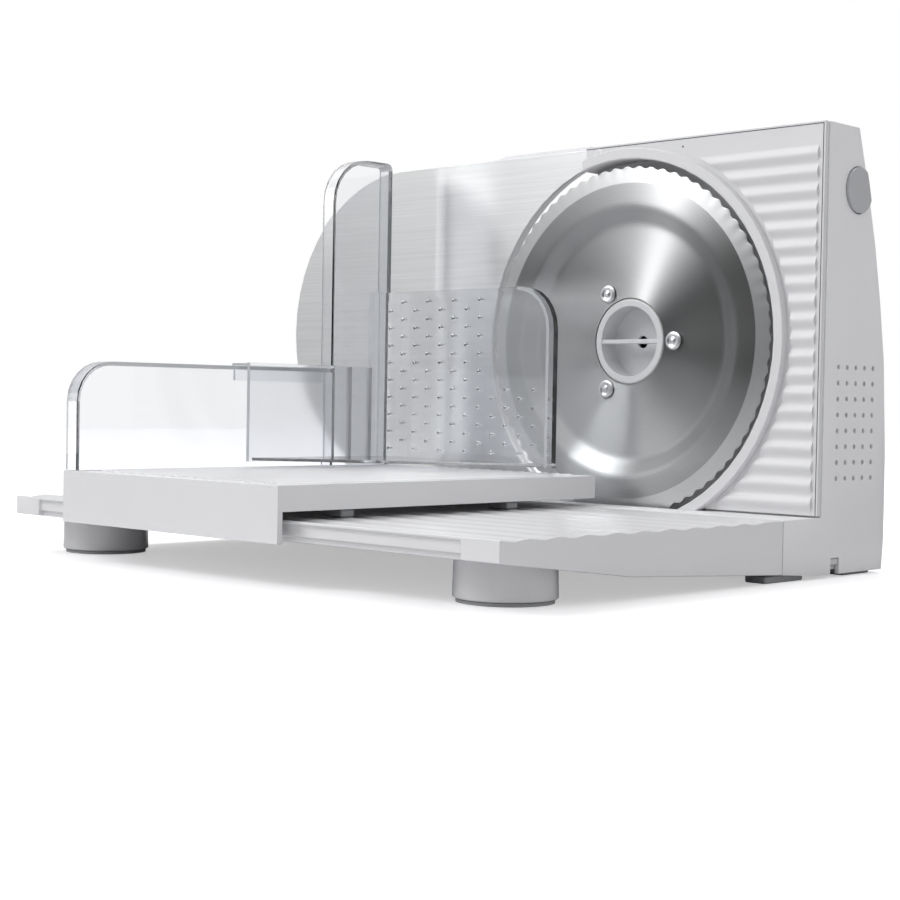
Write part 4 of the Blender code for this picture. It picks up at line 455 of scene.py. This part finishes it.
def add_bevel(obj, width_mm, limit):
    """Rounds edges in two steps: those above an angle, or those with a weight."""
    bevel = obj.modifiers.new("round", "BEVEL")
    bevel.width = width_mm * MM
    bevel.segments = 2
    bevel.limit_method = limit
    return bevel


def round_edges(name, width_mm):
    """Adds weld, planar merge, bevel and weighted normals to a node."""
    obj = nodes[name]
    obj.data.shade_smooth()
    add_weld(obj)
    merge = obj.modifiers.new("merge_flat", "DECIMATE")
    merge.decimate_type = "DISSOLVE"
    merge.angle_limit = math.radians(MERGE_BELOW_DEGREES)
    bevel = add_bevel(obj, width_mm, "ANGLE")
    bevel.angle_limit = math.radians(BEVEL_ABOVE_DEGREES)
    bevel.miter_outer = "MITER_ARC"
    normals = obj.modifiers.new("normals", "WEIGHTED_NORMAL")
    normals.weight = LARGE_FACE_WEIGHT


edge_radii_mm = {
    "base_table": 0.6, "carriage": 0.6, "power_button": 1.2, "lock_knob": 0.35,
    "stop_plate": 0.3, "stop_carrier": 0.5, "guide_block": 0.8, "thickness_dial": 0.5,
    "front_leg_left": 0.6, "front_leg_right": 0.6}
for name, width in edge_radii_mm.items():
    round_edges(name, width)
print("edges rounded, in mm:", edge_radii_mm)

# %% [markdown]
# ## Smooth faces with crisp corners
#
# Ribs, clear walls and turned inner pieces are curved shapes made of flat
# facets. A bevel would eat their thin walls. So their shading is smoothed, and
# the mesh is split where two faces meet at a real corner.

# %% Smooth the curved pieces
CORNER_ABOVE_DEGREES = 35


def keep_corners(obj, degrees):
    """Splits the edges that are sharper than an angle, so that they shade crisply."""
    split = obj.modifiers.new("crisp", "EDGE_SPLIT")
    split.split_angle = math.radians(degrees)


smooth_pieces = ("ribbed_cover", "thumb_guard", "remnant_holder", "cord_gland",
                 "motor_can", "worm_shaft", "spindle_bush")
for name in smooth_pieces:
    add_weld(nodes[name])
    nodes[name].data.shade_smooth()
    keep_corners(nodes[name], CORNER_ABOVE_DEGREES)
print("smoothed", smooth_pieces)

# %% [markdown]
# ## The long edges of the rear cover
#
# The rear cover has large rounded edges and many small vent holes. A bevel by
# angle would round the rims of the holes too, and they are too small for it. So
# each edge gets a weight: 1 on a sharp edge that is longer than 4 mm, and 0 on
# the others. The bevel goes by that weight.

# %% A key for points that lie on each other
SAME_POINT_MM = 0.01


def point_key(place):
    """The same key for all points that lie on each other."""
    return tuple(round(value / (SAME_POINT_MM * MM)) for value in place)


print("points closer than about", SAME_POINT_MM, "mm count as one")

# %% Round the rear cover's long edges
LONG_EDGE_MM = 4
LONG_EDGE_ABOVE_DEGREES = 35
COVER_ROUND_MM = 0.9
COVER_CORNER_DEGREES = 40


def long_sharp_edges(mesh):
    """The indices of the edges that are long and sharp."""
    faces_of = bmesh.new()
    faces_of.from_mesh(mesh)
    same_edges = {}
    for edge in faces_of.edges:
        ends = frozenset(point_key(vert.co) for vert in edge.verts)
        same_edges.setdefault(ends, []).append(edge)
    sharp = set()
    for ends, edges in same_edges.items():
        normals = [face.normal for edge in edges for face in edge.link_faces]
        if len(normals) != 2 or len(ends) != 2:
            continue
        if edges[0].calc_length() <= LONG_EDGE_MM * MM:
            continue
        if normals[0].angle(normals[1], 0) > math.radians(LONG_EDGE_ABOVE_DEGREES):
            sharp.update(edge.index for edge in edges)
    faces_of.free()
    return sharp


rear_cover = nodes["rear_cover"]
long_edges = long_sharp_edges(rear_cover.data)
weights = rear_cover.data.attributes.new("bevel_weight_edge", "FLOAT", "EDGE")
for index in long_edges:
    weights.data[index].value = 1.0
add_weld(rear_cover)
rear_cover.data.shade_smooth()
add_bevel(rear_cover, COVER_ROUND_MM, "WEIGHT")
keep_corners(rear_cover, COVER_CORNER_DEGREES)
print("long edges rounded on the rear cover:", len(long_edges))

# %% [markdown]
# ## A tool for turned pieces
#
# A turned piece is one profile swept round an axis. Blender has a modifier for
# it, the Screw. Here the points are worked out in the script instead, because
# the blade's rim also needs its scallops, which a modifier can't give. The axis
# is always parallel to Y, as the blade's is.

# %% Give a mesh clean normals
def face_outward(mesh, join_mm=None):
    """Turns all faces outward, after joining the points that are close enough."""
    cleaned = bmesh.new()
    cleaned.from_mesh(mesh)
    if join_mm:
        bmesh.ops.remove_doubles(cleaned, verts=cleaned.verts, dist=join_mm * MM)
    bmesh.ops.recalc_face_normals(cleaned, faces=cleaned.faces)
    cleaned.to_mesh(mesh)
    cleaned.free()


def place_in_scene(name, data):
    """An object for a mesh or a lamp, linked to the scene."""
    obj = bpy.data.objects.new(name, data)
    bpy.context.scene.collection.objects.link(obj)
    return obj


print("new meshes get outward normals")

# %% Turn a profile round an axis along Y
# A closed profile stays this far off the axis, so that no face loses its area.
AXIS_GAP_MM = 0.01
TURNED_JOIN_MM = 0.001
TURNED_CORNER_DEGREES = 40


def turned(name, centre, profile, steps, slot_of=None, wave=None):
    """A closed piece from a closed profile of (radius, y) in mm, seen from the front."""
    points = []
    for step in range(steps):
        angle = 2 * math.pi * step / steps
        for radius, y in profile:
            if wave:
                radius = wave(radius, angle)
            points.append((centre.x + radius * MM * math.cos(angle), centre.y + y * MM,
                           centre.z + radius * MM * math.sin(angle)))
    count = len(profile)
    faces = []
    slots = []
    for step in range(steps):
        after = (step + 1) % steps
        for index in range(count):
            following = (index + 1) % count
            faces.append((step * count + index, step * count + following,
                          after * count + following, after * count + index))
            slots.append(slot_of(index) if slot_of else 0)
    mesh = bpy.data.meshes.new(name)
    mesh.from_pydata(points, [], faces)
    mesh.polygons.foreach_set("material_index", slots)
    face_outward(mesh, TURNED_JOIN_MM)
    mesh.shade_smooth()
    mesh.set_sharp_from_angle(angle=math.radians(TURNED_CORNER_DEGREES))
    return place_in_scene(name, mesh)


print("turned pieces use radii in millimetres")

# %% [markdown]
# ## The blade
#
# A slicer's blade is pressed from thin steel: a flat disc, a step, a raised
# crown and a bevel that a wheel has ground to the edge. The edge is scalloped.
# The model's blade has few faces, and a subdivision would soften its edge as
# well. So this piece is turned anew, along the same profile, with soft bends and
# 72 full scallops, and it stands for the model's blade. Where the grinding wheel
# began, it leaves a fine dotted line: the bevel's inner line waves a little.

# %% The blade's profile
SCALLOPS = 72
SCALLOP_MM = 1.3
STEPS_PER_SCALLOP = 10
BEVEL_START_MM = 86.0
EDGE_START_MM = 93.0
LINE_DOTS = 360
LINE_DOT_MM = 0.22

blade_front = [
    (23.9, 4.75), (61.5, 4.5), (63.6, 4.42), (65.2, 3.98), (66.4, 3.3),
    (71.6, 0.35), (72.8, -0.4), (74.2, -0.8), (76.2, -0.9), (85.6, -0.9),
    (BEVEL_START_MM, -0.88), (92.9, -0.2), (BLADE_RADIUS_MM, 0.0)]
blade_back = [
    (BLADE_RADIUS_MM, 0.3), (74.5, 0.3), (73.2, 0.8), (67.0, 4.4), (65.6, 5.3),
    (63.8, 5.66), (61.5, 5.7), (23.9, 5.7)]


def scalloped(radius, angle):
    """Pulls the rim in between the teeth, and waves the bevel's inner line a little."""
    if radius > EDGE_START_MM:
        return radius - SCALLOP_MM * (1 - math.cos(SCALLOPS * angle)) / 2
    if radius == BEVEL_START_MM:
        return radius + LINE_DOT_MM * math.cos(LINE_DOTS * angle)
    return radius


def blade_slot(index):
    """The ground bevel is made of the last two faces of the front."""
    return 1 if index in (len(blade_front) - 3, len(blade_front) - 2) else 0


print("blade profile", len(blade_front + blade_back), "points")

# %% [markdown]
# The bevel is ground by a wheel and left duller than the rest. It could share
# the blade's finish, but the line between the two is what shows the bevel. So it
# gets a finish of its own, lighter, rougher and less drawn out.

# %% Blade
ground_steel = turned_steel("blade_ground_bevel", "D2D3D4", "B4B5B6",
                            roughness=0.45, anisotropy=0.7)
blade = turned("blade_pressed", HUB + Vector((0, panel_front, 0)),
               blade_front + blade_back, SCALLOPS * STEPS_PER_SCALLOP,
               blade_slot, scalloped)
blade.data.materials.append(blade_steel)
blade.data.materials.append(ground_steel)
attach(blade, "blade")
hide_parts("blade")
print("blade faces", len(blade.data.polygons))

# %% [markdown]
# ## The rivets round the hub
#
# Three rivets hold the blade to its gear. A rivet set by a press has a dome in
# the middle, a groove round it and a rounded rim, which together catch the
# light. The model's rivet has a plain head. A bump map could draw the groove,
# but it wouldn't change the outline, so the head is turned from a profile.

# %% Rivets
RIVET_STEPS = 48
RIVET_SEAT_MM = 4.2
SHANK_RADIUS_MM = 2.4
rivet_head = [
    (AXIS_GAP_MM, -1.15), (0.9, -1.05), (1.6, -0.72), (2.1, -0.5), (2.6, -0.62),
    (3.2, -0.98), (3.8, -1.1), (4.4, -0.95), (4.85, -0.55), (5.0, -0.1), (5.0, 0.0),
    (SHANK_RADIUS_MM, 0.0)]
for number in (1, 2, 3):
    low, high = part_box(f"blade_rivet_{number}")
    centre = Vector(((low.x + high.x) / 2, panel_front + RIVET_SEAT_MM * MM,
                     (low.z + high.z) / 2))
    shank_end = (high.y - centre.y) / MM
    shank = [(SHANK_RADIUS_MM, shank_end), (AXIS_GAP_MM, shank_end)]
    rivet = turned(f"rivet_set_{number}", centre, rivet_head + shank, RIVET_STEPS)
    rivet.data.materials.append(rivet_steel)
    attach(rivet, "blade")
    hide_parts(f"blade_rivet_{number}")
print("rivet shank", round(shank_end, 2), "mm")

# %% [markdown]
# ## The seam round the ribbed cover, and the joint below it
#
# The ribbed cover sits in a frame of the housing. A seam of about half a
# millimetre runs along its right side and its top. On the right side of the
# slicer a joint line stands between the table and the housing. Both could be
# grooves in the mesh, but that would change nodes of the model, and so narrow a
# gap is dark with shade at any light. So each line is a strip of painted shade:
# the seam's lies a hair above the moulded face, and the joint's between the
# rounded edges of table and housing.

# %% A thin strip on the housing
# seam_shade is painted shade: the dark of narrow gaps, and of the pin hole below.
seam_shade = mottled("seam_in_shade", "6A6B6D", "5E5F61", 0.9)


def housing_strip(name, near, far):
    """A thin strip of painted shade between two outlines with as many points each."""
    count = len(near)
    faces = [tuple(range(count)), tuple(range(2 * count - 1, count - 1, -1))]
    faces += [(index, index + count, (index + 1) % count + count, (index + 1) % count)
              for index in range(count)]
    mesh = bpy.data.meshes.new(name)
    mesh.from_pydata(near + far, [], faces)
    face_outward(mesh)
    mesh.materials.append(seam_shade)
    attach(place_in_scene(name, mesh), "housing")


print("seams are drawn in", seam_shade.name)

# %% The seam along the cover's right side and top
SEAM_MM = 0.5
SEAM_INSET_MM = 0.8
SEAM_PROUD_MM = 0.04
SEAM_DEPTH_MM = 0.3
SEAM_LEFT_OF_HUB_MM = 29
SEAM_FOOT_MM = 31.6

right_out = panel_high.x - SEAM_INSET_MM * MM
right_in = right_out - SEAM_MM * MM
top_out = panel_high.z - SEAM_INSET_MM * MM
top_in = top_out - SEAM_MM * MM
seam_left = HUB.x - SEAM_LEFT_OF_HUB_MM * MM
seam_foot = SEAM_FOOT_MM * MM
seam_corners = [
    (seam_left, top_in), (right_in, top_in), (right_in, seam_foot),
    (right_out, seam_foot), (right_out, top_out), (seam_left, top_out)]
housing_strip("cover_seam",
              [(x, panel_front - SEAM_PROUD_MM * MM, z) for x, z in seam_corners],
              [(x, panel_front + SEAM_DEPTH_MM * MM, z) for x, z in seam_corners])
print("seam at", round(right_out / MM, 2), "mm")

# %% The joint between the table and the housing, on the right side
JOINT_FRONT_MM = 0.3
JOINT_BACK_MM = 0.9
JOINT_NEAR_MM = 0.4
JOINT_FAR_MM = 0.9
JOINT_TOP_GAP_MM = 0.6
JOINT_FOOT_GAP_MM = 3

joint_front = table_high.y - JOINT_FRONT_MM * MM
joint_back = table_high.y + JOINT_BACK_MM * MM
joint_foot = housing_low.z + JOINT_FOOT_GAP_MM * MM
joint_top = table_high.z - JOINT_TOP_GAP_MM * MM
joint_corners = [(joint_front, joint_foot), (joint_back, joint_foot),
                 (joint_back, joint_top), (joint_front, joint_top)]
housing_strip("table_joint",
              [(table_high.x - JOINT_NEAR_MM * MM, y, z) for y, z in joint_corners],
              [(table_high.x - JOINT_FAR_MM * MM, y, z) for y, z in joint_corners])
print("joint from", round(joint_foot / MM, 2), "to", round(joint_top / MM, 2), "mm")

# %% [markdown]
# ## The oval dimple and the pin hole
#
# Near the cover's top edge there are two marks of the mould: a shallow oval
# dimple, and a pin hole 1.2 mm wide. Cutting them into the cover would change a
# node of the model. Each is a small turned piece set into the face instead: the
# dimple is a low oval rim, and the hole is only a disc of painted shade, because
# nothing but shade can be seen in a hole that small.

# %% The dimple and the pin hole
DIMPLE_PLACE_MM = (-20.4, 103)
DIMPLE_STEPS = 40
DIMPLE_ASPECT = 0.86
HOLE_PLACE_MM = (37.1, 102.4)
HOLE_STEPS = 16


def on_cover(right_mm, up_mm):
    """A place on the cover's face, from the hub."""
    return HUB + Vector((right_mm * MM, panel_front, up_mm * MM))


dimple_centre = on_cover(*DIMPLE_PLACE_MM)
dimple = turned("cover_dimple", dimple_centre, [
    (AXIS_GAP_MM, 0.1), (1.6, 0.05), (2.3, -0.12), (2.7, -0.3), (3.1, -0.3),
    (3.4, 0.0), (3.4, 0.3), (AXIS_GAP_MM, 0.3)], DIMPLE_STEPS)
for vertex in dimple.data.vertices:
    vertex.co.x = dimple_centre.x + (vertex.co.x - dimple_centre.x) * DIMPLE_ASPECT
dimple.data.materials.append(housing_abs)
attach(dimple, "housing")
# The pin hole is a disc of painted shade.
hole = turned("cover_pin_hole", on_cover(*HOLE_PLACE_MM), [
    (AXIS_GAP_MM, -0.03), (0.6, -0.03), (0.6, 0.2), (AXIS_GAP_MM, 0.2)], HOLE_STEPS)
hole.data.materials.append(seam_shade)
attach(hole, "housing")
print("dimple at", tuple(dimple_centre), "hole at", HOLE_PLACE_MM)

# %% [markdown]
# ## Which piece has which finish
#
# A finish could be set where each piece is dressed. One list of finishes with
# their pieces is easier to check against the photograph, and shows at once if a
# piece was forgotten.

# %% Give every node its finish
finishes = {
    housing_abs: ["rear_cover", "stop_carrier", "guide_block"],
    cover_abs: ["ribbed_cover"],
    table_abs: ["base_table", "carriage", "front_leg_left", "front_leg_right"],
    pad_nylon_painted_shade: ["glide_pad_1", "glide_pad_2", "glide_pad_3", "glide_pad_4"],
    button_abs: ["power_button"],
    knob_abs: ["lock_knob", "thickness_dial", "cord_gland",
               "housing_frame", "floor_plate"],
    aluminium: ["stop_plate"],
    blade_steel: ["blade"],
    guard_plastic: ["thumb_guard"],
    holder_plastic: ["remnant_holder"],
    grey_rubber: ["rubber_foot_1", "rubber_foot_2", "rubber_foot_3", "rubber_foot_4"],
    pad_rubber: ["leg_pad_left", "leg_pad_right"],
    switch_black: ["switch_body", "spindle_bush"],
    gear_acetal: ["blade_gear", "worm_wheel"],
    zinc_steel: ["cover_screw_1", "cover_screw_2", "cover_screw_3", "cover_screw_4",
                 "motor_can", "motor_bracket", "worm_bearing", "drive_pinion",
                 "worm_shaft", "guide_rod_left", "guide_rod_right"],
    rivet_steel: ["blade_rivet_1", "blade_rivet_2", "blade_rivet_3"],
    bush_brass: ["guide_bush_left", "guide_bush_right"],
}
dressed = set()
for finish, names in finishes.items():
    for name in names:
        slots = nodes[name].data.materials
        slots.clear()
        slots.append(finish)
        dressed.add(name)
print("nodes without a finish:", sorted(set(nodes) - dressed))

# %% [markdown]
# ## The faces of the clear pieces
#
# The two clear pieces need three more finishes beside their own: painted light
# as a satin grey on their narrow rims, painted shade as a darker grey on the feet
# that stand on the carriage, and a polished finish on the large faces toward the
# user. The faces could be listed by number, but the numbers change with the
# model. So the script finds them: it joins neighbouring faces that lie in one
# plane, measures how wide each such region is, and gives the finish by that
# width and by where it faces.
# region is, and gives the finish by that width and by where it faces.

# %% Flat regions of a clear piece
SAME_PLANE = 0.9998


def flat_regions(mesh, keys):
    """Groups the faces of a mesh into flat regions of joined faces."""
    by_edge = {}
    for face in mesh.polygons:
        for first, second in face.edge_keys:
            ends = frozenset((keys[first], keys[second]))
            by_edge.setdefault(ends, []).append(face.index)
    near = {face.index: set() for face in mesh.polygons}
    for group in by_edge.values():
        for index in group:
            near[index].update(group)
    left = set(near)
    while left:
        region = []
        waiting = [left.pop()]
        while waiting:
            index = waiting.pop()
            region.append(index)
            normal = mesh.polygons[index].normal
            for other in near[index] & left:
                if normal.dot(mesh.polygons[other].normal) > SAME_PLANE:
                    left.discard(other)
                    waiting.append(other)
        yield region


print("faces count as one plane above", SAME_PLANE)

# %% The width of a region, and whether it is a rim
RIM_WIDTH_MM = 3.2
BEND_FROM = 0.08
SLANT_FROM = 0.05
FACING = 0.95


def strip_width(mesh, keys, region):
    """Twice the area over the rim: the width of a strip, also of one with corners."""
    area = sum(mesh.polygons[index].area for index in region)
    lengths = {}
    for index in region:
        for first, second in mesh.polygons[index].edge_keys:
            length = (mesh.vertices[first].co - mesh.vertices[second].co).length
            lengths.setdefault(frozenset((keys[first], keys[second])), []).append(length)
    rim = sum(found[0] for found in lengths.values() if len(found) == 1)
    return 2 * area / rim / MM


def is_rim(mesh, keys, region, spiked):
    """Says whether a flat region is a narrow strip, and no part of a bend or a spike."""
    normal = mesh.polygons[region[0]].normal
    if abs(normal.x) > BEND_FROM and abs(normal.y) > BEND_FROM:
        return False
    if spiked and SLANT_FROM < abs(normal.y) < FACING:
        return False
    return strip_width(mesh, keys, region) < RIM_WIDTH_MM


print("rims are narrower than", RIM_WIDTH_MM, "mm")

# %% Give the clear faces their finishes
FOOT_MM = 2.5
CLEAR, RIM, FOOT, FRONT = range(4)


def clear_slot(mesh, keys, region, spiked, foot_top):
    """The slot for one flat region of a clear piece."""
    if is_rim(mesh, keys, region, spiked):
        highest = max(mesh.vertices[corner].co.z for index in region
                      for corner in mesh.polygons[index].vertices)
        return FOOT if highest < foot_top else RIM
    return FRONT if mesh.polygons[region[0]].normal.y < -FACING else CLEAR


for name, spiked in (("thumb_guard", False), ("remnant_holder", True)):
    mesh = nodes[name].data
    for finish in (rim_painted_light, foot_painted_shade, guard_plastic):
        mesh.materials.append(finish)
    foot_top = min(vertex.co.z for vertex in mesh.vertices) + FOOT_MM * MM
    keys = [point_key(vertex.co) for vertex in mesh.vertices]
    counts = [0, 0, 0, 0]
    for region in flat_regions(mesh, keys):
        slot = clear_slot(mesh, keys, region, spiked, foot_top)
        for index in region:
            mesh.polygons[index].material_index = slot
        counts[slot] += len(region)
    print(name, "faces: clear, rim, foot, polished front", counts)

# %% [markdown]
# ## Floor and light
#
# A product is photographed on white, but metal with nothing but white round it
# looks like plaster. So a studio puts softboxes and dark flags round it. Here
# the floor is plain and pale, and the sky says three things: the camera and the
# clear pieces see plain white, the moulded pieces are lit by a dim even sky, and
# reflections show a small studio. Lamps with real flags would do the same, but
# they would also light the moulded pieces, and make more noise.
#
# The studio has a dark wall in front with pale side walls, a bright strip that
# starts above the horizon, a low bright stretch beside it, a very bright patch,
# a bright ceiling, and a thin dark flag before strip and ceiling. Bearings are
# in degrees, from straight in front of the slicer toward its left.

# %% Soft edges, masks and sums of light
def fade(tree, value, first, last, low=0.0, high=1.0):
    """Goes softly from low to high while a value goes from first to last."""
    return add_node(tree, "ShaderNodeMapRange", {
        "Value": value, "From Min": first, "From Max": last,
        "To Min": low, "To Max": high},
        interpolation_type="SMOOTHSTEP").outputs["Result"]


def masked(tree, light, mask):
    """A light behind a mask: dark where the mask is 0."""
    return add_node(tree, "ShaderNodeMath", {0: light, 1: mask},
                    operation="MULTIPLY").outputs["Value"]


def brightest(tree, light, *others):
    """The brightest of several lights, and so also: this one or that one."""
    for other in others:
        light = add_node(tree, "ShaderNodeMath", {0: light, 1: other},
                         operation="MAXIMUM").outputs["Value"]
    return light


world = bpy.data.worlds.new("studio")
bpy.context.scene.world = world
bpy.context.scene.view_settings.view_transform = "Standard"
world.use_nodes = True
sky_tree = world.node_tree
sky = sky_tree.nodes["Background"]
print("view transform", bpy.context.scene.view_settings.view_transform)

# %% Where a ray looks: its bearing and its height
EDGE_DEGREES = 2.5

direction = add_node(sky_tree, "ShaderNodeTexCoord")
turned_round = add_node(sky_tree, "ShaderNodeVectorMath", {
    0: direction.outputs["Generated"], 1: (-1, -1, 1)}, operation="MULTIPLY")
look = add_node(sky_tree, "ShaderNodeSeparateXYZ", {
    "Vector": turned_round.outputs["Vector"]}).outputs
height = look["Z"]
bearing = add_node(sky_tree, "ShaderNodeMath", {0: look["X"], 1: look["Y"]},
                   operation="ARCTAN2").outputs["Value"]


def upright_light(first, last, soft=EDGE_DEGREES):
    """1 between two bearings in degrees, and softly 0 outside them."""
    rising = fade(sky_tree, bearing, math.radians(first - soft), math.radians(first))
    falling = fade(sky_tree, bearing, math.radians(last), math.radians(last + soft),
                   1.0, 0.0)
    return masked(sky_tree, rising, falling)


def raised(foot_degrees, full_degrees, high=1.0):
    """0 below an elevation, and softly full above another one."""
    return fade(sky_tree, height, math.sin(math.radians(foot_degrees)),
                math.sin(math.radians(full_degrees)), 0.0, high)


print("lights have edges", EDGE_DEGREES, "degrees wide")

# %% The strip, the ceiling and the flag before them
STRIP_FROM_DEGREES, STRIP_TO_DEGREES = 38.3, 51
STRIP_FOOT_DEGREES, STRIP_FULL_DEGREES = 6, 14
STRIP_DIMS_FROM_DEGREES, STRIP_DIMS_TO_DEGREES = 46.8, 48.5
STRIP_STRENGTH, STRIP_END_STRENGTH = 3.5, 3.4
CEILING_FROM_DEGREES, CEILING_FULL_DEGREES = 32, 60
FLAG_DEGREES = 45.25
FLAG_HALF_DEGREES = 0.9
FLAG_SHADE = 0.9

strip = masked(sky_tree, upright_light(STRIP_FROM_DEGREES, STRIP_TO_DEGREES),
               raised(STRIP_FOOT_DEGREES, STRIP_FULL_DEGREES))
ceiling = raised(CEILING_FROM_DEGREES, CEILING_FULL_DEGREES)
flag = upright_light(FLAG_DEGREES - FLAG_HALF_DEGREES / 2,
                     FLAG_DEGREES + FLAG_HALF_DEGREES / 2, FLAG_HALF_DEGREES / 2)
past_flag = add_node(sky_tree, "ShaderNodeMath", {0: flag, 1: -FLAG_SHADE, 2: 1.0},
                     operation="MULTIPLY_ADD").outputs["Value"]
strip_strength = fade(sky_tree, bearing, math.radians(STRIP_DIMS_FROM_DEGREES),
                      math.radians(STRIP_DIMS_TO_DEGREES),
                      STRIP_STRENGTH, STRIP_END_STRENGTH)
strip_and_ceiling = masked(
    sky_tree, strip_strength,
    masked(sky_tree, brightest(sky_tree, strip, ceiling), past_flag))
print("strip from", STRIP_FROM_DEGREES, "to", STRIP_TO_DEGREES, "degrees")

# %% The patch, the low stretch and the walls
PATCH_FROM_DEGREES, PATCH_TO_DEGREES = 26, 37
PATCH_FOOT_DEGREES, PATCH_FULL_DEGREES = 10, 20
PATCH_STRENGTH = 9
LOW_TO_DEGREES = 58
LOW_STRENGTH = 1.6
DARK_FROM_DEGREES, DARK_TO_DEGREES = -15, 64
WALL_EDGE_DEGREES = 14
DARK_WALL, PALE_WALL = 0.02, 0.6

patch = masked(sky_tree, upright_light(PATCH_FROM_DEGREES, PATCH_TO_DEGREES),
               raised(PATCH_FOOT_DEGREES, PATCH_FULL_DEGREES, PATCH_STRENGTH))
low_stretch = masked(sky_tree, upright_light(STRIP_TO_DEGREES, LOW_TO_DEGREES),
                     LOW_STRENGTH)
dark = upright_light(DARK_FROM_DEGREES, DARK_TO_DEGREES, WALL_EDGE_DEGREES)
wall = fade(sky_tree, dark, 0.0, 1.0, PALE_WALL, DARK_WALL)
reflected = brightest(sky_tree, low_stretch, wall, patch, strip_and_ceiling)
print("patch strength", PATCH_STRENGTH, "and walls", DARK_WALL, "to", PALE_WALL)

# %% What each kind of ray sees of the sky
SKY_LOW, SKY_HIGH = 0.38, 0.75
SKY_LOW_HEIGHT, SKY_HIGH_HEIGHT = -0.1, 0.8

rays = add_node(sky_tree, "ShaderNodeLightPath").outputs
dim_sky = fade(sky_tree, height, SKY_LOW_HEIGHT, SKY_HIGH_HEIGHT, SKY_LOW, SKY_HIGH)
dim_or_reflected = add_node(sky_tree, "ShaderNodeMix", {
    "Factor": rays["Is Glossy Ray"], "A": dim_sky, "B": reflected})
white_seen = brightest(sky_tree, rays["Is Camera Ray"], rays["Is Transmission Ray"])
sky_strength = add_node(sky_tree, "ShaderNodeMix", {
    "Factor": white_seen, "A": dim_or_reflected.outputs["Result"], "B": 1.0})
sky_tree.links.new(sky_strength.outputs["Result"], sky.inputs["Strength"])
sky.inputs["Color"].default_value = linear("FFFFFF")
print("sky nodes", len(sky_tree.nodes))

# %% [markdown]
# ## The floor
#
# The floor is a large pale sheet that takes the slicer's shadow. It glows a
# little, for the camera and through the clear pieces only, so that it runs into
# the white sky with no line. In reflections its far part is dark, like the
# studio's wall: with a pale floor up to the horizon, the blade would show a white
# band and lose its dark fans.

# %% Floor
FLOOR_SIZE = 6.0
FLOOR_GLOW = 0.45
FLOOR_PALE_TO = 0.3
FLOOR_DARK_FROM = 0.6

half = FLOOR_SIZE / 2
floor_mesh = bpy.data.meshes.new("floor")
floor_mesh.from_pydata(
    [(-half, -half, 0), (half, -half, 0), (half, half, 0), (-half, half, 0)],
    [], [(0, 1, 2, 3)])
floor = place_in_scene("floor", floor_mesh)
pale_floor, floor_tree, floor_shader = new_material(
    "pale_floor", Roughness=0.5, Base_Color=linear("D6D6D8"),
    Emission_Color=linear("FFFFFF"))
floor_rays = add_node(floor_tree, "ShaderNodeLightPath").outputs
floor_seen = brightest(floor_tree, floor_rays["Is Camera Ray"],
                       floor_rays["Is Transmission Ray"])
floor_tree.links.new(masked(floor_tree, FLOOR_GLOW, floor_seen),
                     floor_shader.inputs["Emission Strength"])
floor_mesh.materials.append(pale_floor)
print("floor", FLOOR_SIZE, "m wide")

# %% The far floor, as reflections show it
floor_place = add_node(floor_tree, "ShaderNodeTexCoord")
reach = add_node(floor_tree, "ShaderNodeVectorMath", {0: floor_place.outputs["Object"]},
                 operation="LENGTH").outputs["Value"]
in_reflections = add_node(floor_tree, "ShaderNodeMath", {
    0: floor_rays["Is Glossy Ray"], 1: floor_rays["Is Transmission Ray"]},
    operation="SUBTRACT").outputs["Value"]
far_reflected = masked(floor_tree, in_reflections,
                        fade(floor_tree, reach, FLOOR_PALE_TO, FLOOR_DARK_FROM))
dark_floor = add_node(floor_tree, "ShaderNodeEmission", {"Strength": DARK_WALL})
floor_both = add_node(floor_tree, "ShaderNodeMixShader", {
    0: far_reflected, 1: floor_shader.outputs["BSDF"],
    2: dark_floor.outputs["Emission"]})
floor_tree.links.new(floor_both.outputs["Shader"],
                     floor_tree.nodes["Material Output"].inputs["Surface"])
print("reflections show the floor dark beyond", FLOOR_DARK_FROM, "m")

# %% [markdown]
# ## Lamps
#
# A large softbox from the front left draws the forms of the moulded pieces, and
# a weak one from behind separates the top edges from the background. A sun would
# be simpler, but its shadows are hard, and the photograph's are soft. The key
# isn't seen in reflections, because the strip and the patch stand for it there.

# %% Lamps
LAMP_AIM = Vector((0, 0, 0.1))


def soft_lamp(name, place, size, power):
    """A square softbox at a place, in metres, turned to the slicer's middle."""
    data = bpy.data.lights.new(name, "AREA")
    data.size = size
    data.energy = power
    lamp = place_in_scene(name, data)
    turn = (LAMP_AIM - Vector(place)).to_track_quat("-Z", "Y")
    lamp.matrix_world = Matrix.Translation(place) @ turn.to_matrix().to_4x4()
    return lamp


key = soft_lamp("key_softbox", (-1.0, -1.35, 1.6), size=0.9, power=22)
key.visible_glossy = False
soft_lamp("back_softbox", (-0.4, 1.5, 1.3), size=1.2, power=5)
